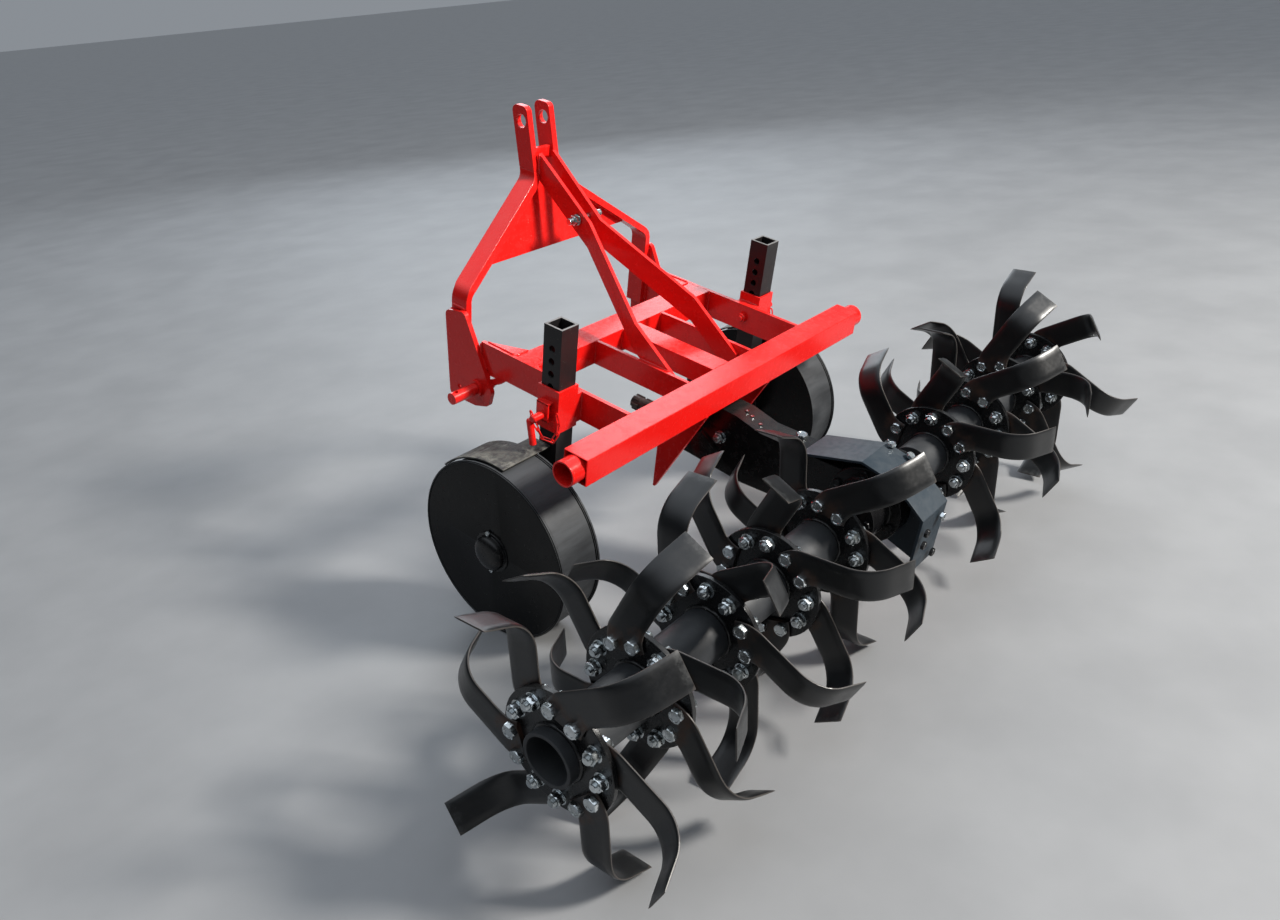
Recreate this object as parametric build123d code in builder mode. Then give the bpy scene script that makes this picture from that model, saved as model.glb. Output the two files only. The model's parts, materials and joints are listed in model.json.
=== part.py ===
from build123d import *
import os
from math import acos, atan2, cos, degrees, hypot, radians, sin, tan

os.makedirs("parts", exist_ok=True)

# Machine frame: X to the right, Y forward to the tractor, Z up, all in millimetres.
# Its zero is the middle of the rear top edge of the rear beam. The whole machine then
# leans back until its wheels and its tine tips stand on the floor (world Z = 0).

# Wheels and rotor, which set the lean
wheel_radius = 213.0
wheel_width = 115.0
wheel_y = 229.7
wheel_z = -334.7
rotor_y = -371.3
rotor_z = -141.5
tine_tip_radius = 276.0
rotor_drop = 269.7         # height of the rotor axis over the floor with the tines as parked

lean_angle = degrees(
    acos((rotor_drop - wheel_radius) / hypot(wheel_y - rotor_y, wheel_z - rotor_z))
    - atan2(wheel_y - rotor_y, rotor_z - wheel_z)
)
lean_sin = sin(radians(lean_angle))
lean_cos = cos(radians(lean_angle))
beam_top = wheel_radius - (wheel_y * lean_sin + wheel_z * lean_cos)
machine_x = 70.5           # the rotor is longer on the left, so the middle sits right of zero
machine_y = -6.3          # puts the middle of the whole length over the origin

lean = Plane(
    origin=(machine_x, machine_y, beam_top),
    x_dir=(1, 0, 0),
    z_dir=(0, -lean_sin, lean_cos),
)


def side_plane(x):
    """Sketch plane across the machine at x: forward, up; grows to the right."""
    return Plane(origin=lean.from_local_coords((x, 0, 0)), x_dir=lean.y_dir, z_dir=lean.x_dir)


def level_plane(z):
    """Sketch plane level with the frame at z: right, forward; grows upward."""
    return Plane(origin=lean.from_local_coords((0, 0, z)), x_dir=lean.x_dir, z_dir=lean.z_dir)


def cross_plane(y):
    """Upright sketch plane at y: right, up; grows to the rear."""
    return Plane(origin=lean.from_local_coords((0, y, 0)), x_dir=lean.x_dir, z_dir=-lean.y_dir)


def turned_plane(x, y, z, angle):
    """Plane square to X at a point, its first axis turned from forward to up by angle."""
    radial = lean.y_dir * cos(radians(angle)) + lean.z_dir * sin(radians(angle))
    return Plane(origin=lean.from_local_coords((x, y, z)), x_dir=radial, z_dir=lean.x_dir)


def rotor_plane(x, angle):
    """Plane on the rotor axis at x: outward at angle, onward in the angle; grows right."""
    return turned_plane(x, rotor_y, rotor_z, angle)


# Rear beam: square tube with a round tube for extensions in each end
beam_size = 62.0
beam_wall = 3.0
beam_half = 522.0
socket_outer = beam_size - 2 * beam_wall
socket_wall = 4.0
socket_reach = 35.0
socket_grip = 150.0

with BuildPart() as rear_beam:
    with BuildSketch(side_plane(-beam_half)):
        with Locations((beam_size / 2, -beam_size / 2)):
            Rectangle(beam_size, beam_size)
            Rectangle(beam_size - 2 * beam_wall, beam_size - 2 * beam_wall, mode=Mode.SUBTRACT)
    extrude(amount=2 * beam_half)
rear_beam.part.label = "rear_beam"
export_step(rear_beam.part, "parts/rear_beam.step")

with BuildPart() as beam_end_tubes:
    for side in (-1, 1):
        with BuildSketch(side_plane(side * (beam_half + socket_reach))):
            with Locations((beam_size / 2, -beam_size / 2)):
                Circle(socket_outer / 2)
                Circle(socket_outer / 2 - socket_wall, mode=Mode.SUBTRACT)
        extrude(amount=-side * (socket_reach + socket_grip))
beam_end_tubes.part.label = "beam_end_tubes"
export_step(beam_end_tubes.part, "parts/beam_end_tubes.step")

# Frame of flats and tubes ahead of the beam, all level with its top
outer_in = 320.0
outer_thick = 10.0
outer_deep = 70.0
outer_front = 499.0
inner_in = 116.0
inner_thick = 10.0
inner_deep = 60.0
front_tube_rear = 331.0
front_tube_front = 399.0
front_tube_deep = 60.0
tube_wall = 5.0
centre_tube_wide = 60.0
centre_tube_deep = 50.0
corner_thick = 8.0
corner_reach = 93.0
corner_width = 43.0

# Wheel posts in sleeves beside the outer members, each held by a pin through its holes
post_size = 50.0
post_wall = 5.0
post_x = 372.5
post_y = 219.6
post_top_z = 162.0
post_hole_pitch = 29.3
post_hole_top_z = 112.0
post_hole_count = 6
post_clear = 0.2
pin_radius = 8.0
pin_clear = 0.1
sleeve_wall = 5.0
sleeve_size = post_size + 2 * post_clear + 2 * sleeve_wall
sleeve_top_z = 23.0
guard_gap = 1.5
guard_thick = 4.0
guard_in_radius = wheel_radius + guard_gap
sleeve_gap = 38.2          # between the guard and the sleeve over it
sleeve_low_z = wheel_z + guard_in_radius + guard_thick + sleeve_gap
pin_z = post_hole_top_z - (post_hole_count - 1) * post_hole_pitch

with BuildPart() as outer_members:
    for side in (-1, 1):
        with BuildSketch(side_plane(side * outer_in)):
            with Locations(((beam_size + outer_front) / 2, -outer_deep / 2)):
                Rectangle(outer_front - beam_size, outer_deep)
        extrude(amount=side * outer_thick)
        with BuildSketch(side_plane(side * outer_in)):
            with Locations((post_y, pin_z)):
                Circle(pin_radius + pin_clear)
        extrude(amount=side * outer_thick, mode=Mode.SUBTRACT)
outer_members.part.label = "outer_members"
export_step(outer_members.part, "parts/outer_members.step")

with BuildPart() as inner_members:
    for side in (-1, 1):
        with BuildSketch(side_plane(side * inner_in)):
            with Locations(((beam_size + front_tube_rear) / 2, -inner_deep / 2)):
                Rectangle(front_tube_rear - beam_size, inner_deep)
        extrude(amount=side * inner_thick)
inner_members.part.label = "inner_members"
export_step(inner_members.part, "parts/inner_members.step")

with BuildPart() as front_tube:
    with BuildSketch(side_plane(-outer_in)):
        with Locations(((front_tube_rear + front_tube_front) / 2, -front_tube_deep / 2)):
            Rectangle(front_tube_front - front_tube_rear, front_tube_deep)
            Rectangle(
                front_tube_front - front_tube_rear - 2 * tube_wall,
                front_tube_deep - 2 * tube_wall,
                mode=Mode.SUBTRACT,
            )
    extrude(amount=2 * outer_in)
front_tube.part.label = "front_tube"
export_step(front_tube.part, "parts/front_tube.step")

with BuildPart() as centre_tube:
    with BuildSketch(cross_plane(front_tube_rear)):
        with Locations((0, -centre_tube_deep / 2)):
            Rectangle(centre_tube_wide, centre_tube_deep)
            Rectangle(
                centre_tube_wide - 2 * tube_wall,
                centre_tube_deep - 2 * tube_wall,
                mode=Mode.SUBTRACT,
            )
    extrude(amount=front_tube_rear - beam_size)
centre_tube.part.label = "centre_tube"
export_step(centre_tube.part, "parts/centre_tube.step")

with BuildPart() as corner_gussets:
    for side in (-1, 1):
        with BuildSketch(level_plane(-corner_thick)):
            with BuildLine():
                Polyline(
                    (side * outer_in, front_tube_front),
                    (side * outer_in, front_tube_front + corner_reach),
                    (side * (outer_in - corner_width), front_tube_front),
                    close=True,
                )
            make_face()
        extrude(amount=corner_thick)
corner_gussets.part.label = "corner_gussets"
export_step(corner_gussets.part, "parts/corner_gussets.step")

# Hanger plates under the inner members, which carry the gear arm
hanger_tip_y = 118.0
hanger_tip_z = -303.0
hanger_front_y = 124.0

with BuildPart() as hanger_plates:
    for side in (-1, 1):
        with BuildSketch(side_plane(side * inner_in)):
            with BuildLine():
                Polyline(
                    (0, -beam_size),
                    (beam_size, -beam_size),
                    (beam_size, -inner_deep),
                    (hanger_front_y, -inner_deep),
                    (hanger_front_y, hanger_tip_z),
                    (hanger_tip_y, hanger_tip_z),
                    close=True,
                )
            make_face()
        extrude(amount=side * inner_thick)
hanger_plates.part.label = "hanger_plates"
export_step(hanger_plates.part, "parts/hanger_plates.step")

# Lower hitch plates on the outer members, each with its pin
hitch_in = outer_in + outer_thick
hitch_thick = 12.0
hitch_outline = ((607, 46), (545, 60), (453, -112), (462, -151), (505, -166), (592, -170))
hitch_corner = 15.0
hitch_hole_y = 560.0
hitch_hole_z = -137.0
hitch_hole_radius = 6.0
hitch_pin_y = 500.0
hitch_pin_z = -117.0
hitch_pin_radius = 14.0
hitch_pin_long = 78.0
hitch_collar_radius = 21.0
hitch_collar_long = 8.0
cross_hole_radius = 5.5
cross_hole_inset = 13.0

with BuildPart() as hitch_plates:
    for side in (-1, 1):
        with BuildSketch(side_plane(side * hitch_in)):
            with BuildLine():
                Polyline(*hitch_outline, close=True)
            make_face()
            fillet(vertices(), hitch_corner)
            with Locations((hitch_hole_y, hitch_hole_z)):
                Circle(hitch_hole_radius, mode=Mode.SUBTRACT)
        extrude(amount=side * hitch_thick)
hitch_plates.part.label = "hitch_plates"
export_step(hitch_plates.part, "parts/hitch_plates.step")

# Small braces under the outer members, which hold the lower ends of the hitch plates
brace_thick = 8.0
brace_outline = ((482, -70), (418, -70), (434, -84), (455, -96), (466, -112), (482, -150))
brace_window = ((476, -77), (476, -90), (452, -77))

with BuildPart() as hitch_braces:
    for side in (-1, 1):
        with BuildSketch(side_plane(side * (hitch_in - brace_thick))):
            with BuildLine():
                Polyline(*brace_outline, close=True)
            make_face()
            with BuildLine():
                Polyline(*brace_window, close=True)
            make_face(mode=Mode.SUBTRACT)
        extrude(amount=side * brace_thick)
hitch_braces.part.label = "hitch_braces"
export_step(hitch_braces.part, "parts/hitch_braces.step")

with BuildPart() as hitch_pins:
    for side in (-1, 1):
        with BuildSketch(side_plane(side * (hitch_in + hitch_thick))):
            with Locations((hitch_pin_y, hitch_pin_z)):
                Circle(hitch_pin_radius)
        extrude(amount=side * hitch_pin_long)
        with BuildSketch(side_plane(side * (hitch_in + hitch_thick))):
            with Locations((hitch_pin_y, hitch_pin_z)):
                Circle(hitch_collar_radius)
        extrude(amount=side * hitch_collar_long)
        hole_x = side * (hitch_in + hitch_thick + hitch_pin_long - cross_hole_inset)
        with BuildSketch(level_plane(hitch_pin_z)):
            with Locations((hole_x, hitch_pin_y)):
                Circle(cross_hole_radius)
        extrude(amount=hitch_pin_radius + 1, both=True, mode=Mode.SUBTRACT)
hitch_pins.part.label = "hitch_pins"
export_step(hitch_pins.part, "parts/hitch_pins.step")

# Mast: a flat bar each side, upright at the foot, leaning in and forward to the ears
mast_wide = 49.0
mast_thick = 17.0
mast_foot_y = 574.0
mast_foot_z = -110.0
mast_low_x = hitch_in
mast_low_z = 97.0
mast_top_x = 45.0
mast_top_y = 645.0
mast_top_z = 288.0
mast_eye_y = 675.0
mast_eye_z = 412.0
mast_eye_radius = 16.0
mast_inner_x = mast_top_x - mast_thick
ear_rise = 35.0            # bar above the middle of the eye
ear_corner = 15.0
bend_inner_radius = 30.0
bend_steps = 5

# Each bend is an arc across the machine, outer and inner face round one middle
slope_x = mast_low_x - mast_top_x
slope_up = mast_top_z - mast_low_z
bend_angle = atan2(slope_x, slope_up)
bend_outer_radius = bend_inner_radius + mast_thick
low_middle = (
    mast_low_x - bend_outer_radius,
    mast_low_z - bend_outer_radius * tan(bend_angle / 2),
)
high_middle = (
    mast_top_x + bend_inner_radius,
    mast_top_z + bend_inner_radius * tan(bend_angle / 2),
)
lean_rise = (mast_top_y - mast_foot_y) / slope_up


def bend_section(middle, outer_radius, inner_radius, angle):
    """Outer and inner point, across and up, where a bend has turned by angle."""
    (x, z), across, up = middle, cos(angle), sin(angle)
    return (
        (x + outer_radius * across, z + outer_radius * up),
        (x + inner_radius * across, z + inner_radius * up),
    )


turns = [bend_angle * step / bend_steps for step in range(bend_steps + 1)]
mast_line = [((mast_low_x, mast_foot_z), (mast_low_x - mast_thick, mast_foot_z))]
mast_line += [
    bend_section(low_middle, bend_outer_radius, bend_inner_radius, turn) for turn in turns
]
mast_line += [
    bend_section(high_middle, -bend_inner_radius, -bend_outer_radius, turn)
    for turn in reversed(turns)
]


def mast_section(side, across_up):
    """Cross section of the mast bar from its outer and inner point."""
    corners = []
    for (x, z), half in zip(across_up + across_up[::-1], (-1, -1, 1, 1)):
        y = mast_foot_y + lean_rise * max(z - mast_low_z, 0) + half * mast_wide / 2
        corners.append(lean.from_local_coords((side * x, y, z)))
    return Wire.make_polygon(corners, close=True)


with BuildPart() as mast_legs:
    for side in (-1, 1):
        for low, high in zip(mast_line, mast_line[1:]):
            add(Solid.make_loft([mast_section(side, low), mast_section(side, high)], ruled=True))
mast_legs.part.label = "mast_legs"
export_step(mast_legs.part, "parts/mast_legs.step")

ear_low_y = mast_foot_y + lean_rise * (high_middle[1] - mast_low_z)
ear_top_z = mast_eye_z + ear_rise
ear_top_y = ear_low_y + (ear_top_z - high_middle[1]) * (mast_eye_y - ear_low_y) / (
    mast_eye_z - high_middle[1]
)

with BuildPart() as mast_ears:
    for side in (-1, 1):
        with BuildSketch(side_plane(side * mast_inner_x)):
            with BuildLine():
                Polyline(
                    (ear_low_y - mast_wide / 2, high_middle[1]),
                    (ear_low_y + mast_wide / 2, high_middle[1]),
                    (ear_top_y + mast_wide / 2, ear_top_z),
                    (ear_top_y - mast_wide / 2, ear_top_z),
                    close=True,
                )
            make_face()
            fillet(vertices().sort_by(Axis.Y)[-2:], ear_corner)
            with Locations((mast_eye_y, mast_eye_z)):
                Circle(mast_eye_radius, mode=Mode.SUBTRACT)
        extrude(amount=side * mast_thick)
mast_ears.part.label = "mast_ears"
export_step(mast_ears.part, "parts/mast_ears.step")

# Plate between the mast legs, in the plane in which they lean
plate_thick = 8.0
plate_low_z = 128.0
plate_high_z = 272.0
plate_tilt = degrees(atan2(lean_rise, 1))
plate_y = mast_foot_y + lean_rise * (plate_low_z - mast_low_z)
plate_slope = hypot(1, lean_rise)


def leg_inner_x(z):
    """Inner face of the sloping mast leg at height z."""
    return mast_low_x - mast_thick / cos(bend_angle) - (z - mast_low_z) * slope_x / slope_up


mast_plane = Plane(
    origin=lean.from_local_coords((0, plate_y + plate_thick / 2, plate_low_z)),
    x_dir=lean.x_dir,
    z_dir=lean.z_dir * sin(radians(plate_tilt)) - lean.y_dir * cos(radians(plate_tilt)),
)
with BuildPart() as mast_plate:
    plate_up = (plate_high_z - plate_low_z) * plate_slope
    low_x = leg_inner_x(plate_low_z) + plate_thick
    high_x = leg_inner_x(plate_high_z) + plate_thick
    with BuildSketch(mast_plane):
        with BuildLine():
            Polyline(
                (-low_x, 0), (low_x, 0), (high_x, plate_up), (-high_x, plate_up), close=True
            )
        make_face()
    extrude(amount=plate_thick)
    add(mast_legs.part, mode=Mode.SUBTRACT)
mast_plate.part.label = "mast_plate"
export_step(mast_plate.part, "parts/mast_plate.step")

# Short spacer plate between the mast ears
spacer_low_z = 322.0
spacer_high_z = 352.0
spacer_thick = 10.0
spacer_y = 650.0
with BuildPart() as mast_spacer:
    with BuildSketch(side_plane(-mast_inner_x)):
        with Locations((spacer_y, (spacer_low_z + spacer_high_z) / 2)):
            Rectangle(spacer_thick, spacer_high_z - spacer_low_z)
    extrude(amount=2 * mast_inner_x)
mast_spacer.part.label = "mast_spacer"
export_step(mast_spacer.part, "parts/mast_spacer.step")

# Stays from the mast ears down and back to the inner members, one bolt across both
stay_upright = 61.0
stay_thick = 10.0
stay_toe_in = 4.0
stay_rows = (
    # outer face x, y and z of the upper edge
    (mast_inner_x, 628.0, 345.0),
    (mast_inner_x - stay_toe_in, 463.0, 222.0),
    (inner_in, 230.0, 77.0),
    (inner_in, 91.0, -20.0),
)
stay_bolt_y = 500.0
stay_bolt_z = 221.0
stay_bolt_radius = 8.0
stay_bolt_half = 55.0

with BuildPart() as mast_stays:
    for side in (-1, 1):
        for start, end in zip(stay_rows, stay_rows[1:]):
            sections = []
            for x, y, z in (start, end):
                sections.append(
                    Wire.make_polygon(
                        [
                            lean.from_local_coords((side * (x - inset), y, z - drop))
                            for inset, drop in (
                                (0, 0),
                                (0, stay_upright),
                                (stay_thick, stay_upright),
                                (stay_thick, 0),
                            )
                        ],
                        close=True,
                    )
                )
            add(Solid.make_loft(sections, ruled=True))
    with BuildSketch(side_plane(0)):
        with Locations((stay_bolt_y, stay_bolt_z)):
            Circle(stay_bolt_radius + pin_clear)
    extrude(amount=mast_inner_x, both=True, mode=Mode.SUBTRACT)
mast_stays.part.label = "mast_stays"
export_step(mast_stays.part, "parts/mast_stays.step")

with BuildPart() as stay_bolt:
    with BuildSketch(side_plane(-stay_bolt_half)):
        with Locations((stay_bolt_y, stay_bolt_z)):
            Circle(stay_bolt_radius)
    extrude(amount=2 * stay_bolt_half)
stay_bolt.part.label = "stay_bolt"
export_step(stay_bolt.part, "parts/stay_bolt.step")

# Sleeves, posts and their pins
pin_in_x = 306.0
pin_out_x = 428.0
pin_boss_radius = 13.0
pin_boss_long = outer_in - pin_in_x - 4.0

with BuildPart() as post_sleeves:
    for side in (-1, 1):
        with BuildSketch(level_plane(sleeve_low_z)):
            with Locations((side * post_x, post_y)):
                Rectangle(sleeve_size, sleeve_size)
                Rectangle(
                    post_size + 2 * post_clear, post_size + 2 * post_clear, mode=Mode.SUBTRACT
                )
        extrude(amount=sleeve_top_z - sleeve_low_z)
        spacer_wide = post_x - sleeve_size / 2 - hitch_in
        with BuildSketch(side_plane(side * hitch_in)):
            with Locations((post_y, -outer_deep / 2)):
                Rectangle(sleeve_size, outer_deep)
        extrude(amount=side * spacer_wide)
        with BuildSketch(side_plane(side * hitch_in)):
            with Locations((post_y, pin_z)):
                Circle(pin_radius + pin_clear)
        extrude(amount=side * (pin_out_x - hitch_in), mode=Mode.SUBTRACT)
post_sleeves.part.label = "post_sleeves"
export_step(post_sleeves.part, "parts/post_sleeves.step")

with BuildPart() as wheel_posts:
    for side in (-1, 1):
        with BuildSketch(level_plane(wheel_z - post_size / 2)):
            with Locations((side * post_x, post_y)):
                Rectangle(post_size, post_size)
                Rectangle(
                    post_size - 2 * post_wall, post_size - 2 * post_wall, mode=Mode.SUBTRACT
                )
        extrude(amount=post_top_z - wheel_z + post_size / 2)
        with BuildSketch(side_plane(side * (post_x - post_size))):
            for hole in range(post_hole_count):
                with Locations((post_y, post_hole_top_z - hole * post_hole_pitch)):
                    Circle(pin_radius + pin_clear)
        extrude(amount=side * 2 * post_size, mode=Mode.SUBTRACT)
wheel_posts.part.label = "wheel_posts"
export_step(wheel_posts.part, "parts/wheel_posts.step")

with BuildPart() as post_pins:
    for side in (-1, 1):
        with BuildSketch(side_plane(side * pin_in_x)):
            with Locations((post_y, pin_z)):
                Circle(pin_radius)
        extrude(amount=side * (pin_out_x - pin_in_x))
post_pins.part.label = "post_pins"
export_step(post_pins.part, "parts/post_pins.step")

# Bosses that hold the post pins on the inner faces of the outer members
with BuildPart() as pin_bosses:
    for side in (-1, 1):
        with BuildSketch(side_plane(side * outer_in)):
            with Locations((post_y, pin_z)):
                Circle(pin_boss_radius)
                Circle(pin_radius + pin_clear, mode=Mode.SUBTRACT)
        extrude(amount=-side * pin_boss_long)
pin_bosses.part.label = "pin_bosses"
export_step(pin_bosses.part, "parts/pin_bosses.step")

# Wheels: two discs and a drum on a plain hub, which turns on a fixed axle
axle_radius = 20.0
running_clear = 0.05
wheel_in_x = 432.0
wheel_disc = 6.0
wheel_lip = 5.0            # the discs stand out past the drum
wheel_drum_radius = wheel_radius - wheel_lip
wheel_drum_wall = 6.0
wheel_hub_radius = 30.0
wheel_hub_proud = 4.0
axle_collar_radius = 28.0
cap_radius = 38.0
cap_thick = 8.0
cap_gap = 1.0
axle_out_x = wheel_in_x + wheel_width + wheel_hub_proud + cap_gap

with BuildPart() as wheel_axles:
    for side in (-1, 1):
        with BuildSketch(side_plane(side * (post_x + post_size / 2))):
            with Locations((wheel_y, wheel_z)):
                Circle(axle_radius)
        extrude(amount=side * (axle_out_x - post_x - post_size / 2))
        with BuildSketch(side_plane(side * (post_x + post_size / 2))):
            with Locations((wheel_y, wheel_z)):
                Circle(axle_collar_radius)
        extrude(amount=side * (wheel_in_x - wheel_hub_proud - cap_gap - post_x - post_size / 2))
        with BuildSketch(side_plane(side * axle_out_x)):
            with Locations((wheel_y, wheel_z)):
                Circle(cap_radius)
        extrude(amount=side * cap_thick)
wheel_axles.part.label = "wheel_axles"
export_step(wheel_axles.part, "parts/wheel_axles.step")

for side, wheel_name in ((-1, "left_wheel"), (1, "right_wheel")):
    with BuildPart() as wheel:
        for disc_x in (wheel_in_x, wheel_in_x + wheel_width - wheel_disc):
            with BuildSketch(side_plane(side * disc_x)):
                with Locations((wheel_y, wheel_z)):
                    Circle(wheel_radius)
                    Circle(axle_radius + running_clear, mode=Mode.SUBTRACT)
            extrude(amount=side * wheel_disc)
        with BuildSketch(side_plane(side * wheel_in_x)):
            with Locations((wheel_y, wheel_z)):
                Circle(wheel_drum_radius)
                Circle(wheel_drum_radius - wheel_drum_wall, mode=Mode.SUBTRACT)
        extrude(amount=side * wheel_width)
        with BuildSketch(side_plane(side * (wheel_in_x - wheel_hub_proud))):
            with Locations((wheel_y, wheel_z)):
                Circle(wheel_hub_radius)
                Circle(axle_radius + running_clear, mode=Mode.SUBTRACT)
        extrude(amount=side * (wheel_width + 2 * wheel_hub_proud))
    wheel.part.label = wheel_name
    export_step(wheel.part, f"parts/{wheel_name}.step")

# Guards: a curved plate over the top front of each drum, with a strap over the inner disc to
# the post
guard_side = 2.0           # between the plate and each disc
guard_from = 42.0
guard_to = 95.0
strap_from = 80.0
guard_in_x = wheel_in_x + wheel_disc + guard_side
guard_out_x = wheel_in_x + wheel_width - wheel_disc - guard_side

with BuildPart() as wheel_guards:
    for side in (-1, 1):
        for start, near_x, far_x in (
            (guard_from, guard_in_x, guard_out_x),
            (strap_from, post_x + post_size / 2, guard_in_x),
        ):
            with BuildSketch(side_plane(side * near_x)):
                with BuildLine():
                    inner_arc = CenterArc(
                        (wheel_y, wheel_z), guard_in_radius, start, guard_to - start
                    )
                    outer_arc = CenterArc(
                        (wheel_y, wheel_z), guard_in_radius + guard_thick, start, guard_to - start
                    )
                    Line(inner_arc @ 0, outer_arc @ 0)
                    Line(inner_arc @ 1, outer_arc @ 1)
                make_face()
            extrude(amount=side * (far_x - near_x))
wheel_guards.part.label = "wheel_guards"
export_step(wheel_guards.part, "parts/wheel_guards.step")

# Gear arm between the hanger plates, with the gear case around the rotor axis behind it
arm_half = 36.0
arm_outline = (
    (110, -78), (-22, -83), (-90, -98), (-320, -92), (-320, -225), (-60, -245), (110, -235),
)
case_half = 50.0
case_radius = 86.0
shaft_radius = 25.0
input_z = -194.0
input_radius = 20.0
input_journal_radius = 22.0
input_journal_proud = 2.0
input_tip_y = 299.0
input_back_y = 60.0
input_face_y = 110.0
input_housing_radius = 45.0
input_housing_front = 200.0
input_pocket_back = 50.0
input_pocket_radius = 30.0
lug_y = 85.0
lug_z = -150.0
lug_radius = 22.0

with BuildPart() as gear_arm:
    with BuildSketch(side_plane(-arm_half)):
        with BuildLine():
            Polyline(*arm_outline, close=True)
        make_face()
        with Locations((rotor_y, rotor_z)):
            Circle(case_radius, mode=Mode.SUBTRACT)
    extrude(amount=2 * arm_half)
    for side in (-1, 1):
        with BuildSketch(side_plane(side * arm_half)):
            with Locations((lug_y, lug_z)):
                Circle(lug_radius)
        extrude(amount=side * (inner_in - arm_half))
    with BuildSketch(cross_plane(input_face_y)):
        with Locations((0, input_z)):
            Circle(input_pocket_radius)
    extrude(amount=input_face_y - input_pocket_back, mode=Mode.SUBTRACT)
gear_arm.part.label = "gear_arm"
export_step(gear_arm.part, "parts/gear_arm.step")

with BuildPart() as input_housing:
    with BuildSketch(cross_plane(input_housing_front)):
        with Locations((0, input_z)):
            Circle(input_housing_radius)
            Circle(input_journal_radius + running_clear, mode=Mode.SUBTRACT)
    extrude(amount=input_housing_front - input_face_y)
input_housing.part.label = "input_housing"
export_step(input_housing.part, "parts/input_housing.step")

with BuildPart() as input_shaft:
    with BuildSketch(cross_plane(input_tip_y)):
        with Locations((0, input_z)):
            Circle(input_radius)
    extrude(amount=input_tip_y - input_back_y)
    with BuildSketch(cross_plane(input_housing_front + input_journal_proud)):
        with Locations((0, input_z)):
            Circle(input_journal_radius)
    extrude(amount=input_housing_front + input_journal_proud - input_back_y)
input_shaft.part.label = "input_shaft"
export_step(input_shaft.part, "parts/input_shaft.step")

with BuildPart() as gear_case:
    with BuildSketch(side_plane(-case_half)):
        with Locations((rotor_y, rotor_z)):
            Circle(case_radius)
            Circle(shaft_radius + running_clear, mode=Mode.SUBTRACT)
    extrude(amount=2 * case_half)
gear_case.part.label = "gear_case"
export_step(gear_case.part, "parts/gear_case.step")

# Cover folded over the top and back of the gear case, on a web along its middle
cover_half = 56.0
cover_thick = 6.0
web_half = 5.0
cover_rows = ((89, 18.5), (18, 77), (10.5, 106), (26.5, 146.5), (53.5, 167), (87.5, 218.5))
web_foot_rows = ((-4, 250), (83, 10.5))


def round_case(rows):
    """Points round the rotor axis from their distance off the gear case and their turn."""
    return [
        (
            rotor_y + (case_radius + out) * cos(radians(turn)),
            rotor_z + (case_radius + out) * sin(radians(turn)),
        )
        for out, turn in rows
    ]


cover_line = round_case(cover_rows)

with BuildPart() as case_cover:
    with BuildSketch(side_plane(-cover_half)):
        with BuildLine():
            cover_path = Polyline(*cover_line)
            offset(cover_path, cover_thick, side=Side.LEFT)
        make_face()
    extrude(amount=2 * cover_half)
    with BuildSketch(side_plane(-web_half)):
        with BuildLine():
            Polyline(*cover_line, *round_case(web_foot_rows), close=True)
        make_face()
        with Locations((rotor_y, rotor_z)):
            Circle(case_radius, mode=Mode.SUBTRACT)
    extrude(amount=2 * web_half)
    add(gear_arm.part, mode=Mode.SUBTRACT)
case_cover.part.label = "case_cover"
export_step(case_cover.part, "parts/case_cover.step")

# Bearing housings on both sides of the gear case
bearing_radius = 62.0
bearing_out_x = 120.0
with BuildPart() as bearing_housings:
    for side in (-1, 1):
        with BuildSketch(side_plane(side * case_half)):
            with Locations((rotor_y, rotor_z)):
                Circle(bearing_radius)
                Circle(shaft_radius + running_clear, mode=Mode.SUBTRACT)
        extrude(amount=side * (bearing_out_x - case_half))
bearing_housings.part.label = "bearing_housings"
export_step(bearing_housings.part, "parts/bearing_housings.step")

# Rotor: drive shaft, tubes, bolt flanges and tines
tube_radius = 49.0
tube_bore = 42.0
tube_stub = 25.0
hub_in_x = 165.0
hub_wide = 30.0
flange_radius = 113.0
flange_thick = 10.0
flange_table = (
    # x of the flange, turn of its first tine
    (-984.0, 98.0),
    (-795.0, 68.0),
    (-604.0, 38.0),
    (-415.0, 8.0),
    (-231.0, -22.0),
    (256.0, 8.0),
    (448.0, -22.0),
    (646.0, -52.0),
    (843.0, -82.0),
)
rotor_left_x = flange_table[0][0] - flange_thick / 2 - tube_stub
rotor_right_x = flange_table[-1][0] + flange_thick / 2 + tube_stub

with BuildPart() as rotor_shaft:
    with BuildSketch(rotor_plane(-hub_in_x - hub_wide, 0)):
        Circle(shaft_radius)
    extrude(amount=2 * (hub_in_x + hub_wide))
rotor_shaft.part.label = "rotor_shaft"
export_step(rotor_shaft.part, "parts/rotor_shaft.step")

with BuildPart() as rotor_tubes:
    for near_x, far_x in ((-hub_in_x, rotor_left_x), (hub_in_x, rotor_right_x)):
        with BuildSketch(rotor_plane(near_x, 0)):
            Circle(tube_radius)
            Circle(tube_bore, mode=Mode.SUBTRACT)
        extrude(amount=far_x - near_x)
        with BuildSketch(rotor_plane(near_x, 0)):
            Circle(tube_bore)
            Circle(shaft_radius, mode=Mode.SUBTRACT)
        extrude(amount=hub_wide if far_x > near_x else -hub_wide)
rotor_tubes.part.label = "rotor_tubes"
export_step(rotor_tubes.part, "parts/rotor_tubes.step")

with BuildPart() as rotor_flanges:
    for x, first_turn in flange_table:
        with BuildSketch(rotor_plane(x - flange_thick / 2, first_turn)):
            Circle(flange_radius)
            Circle(tube_radius, mode=Mode.SUBTRACT)
        extrude(amount=flange_thick)
rotor_flanges.part.label = "rotor_flanges"
export_step(rotor_flanges.part, "parts/rotor_flanges.step")

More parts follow.
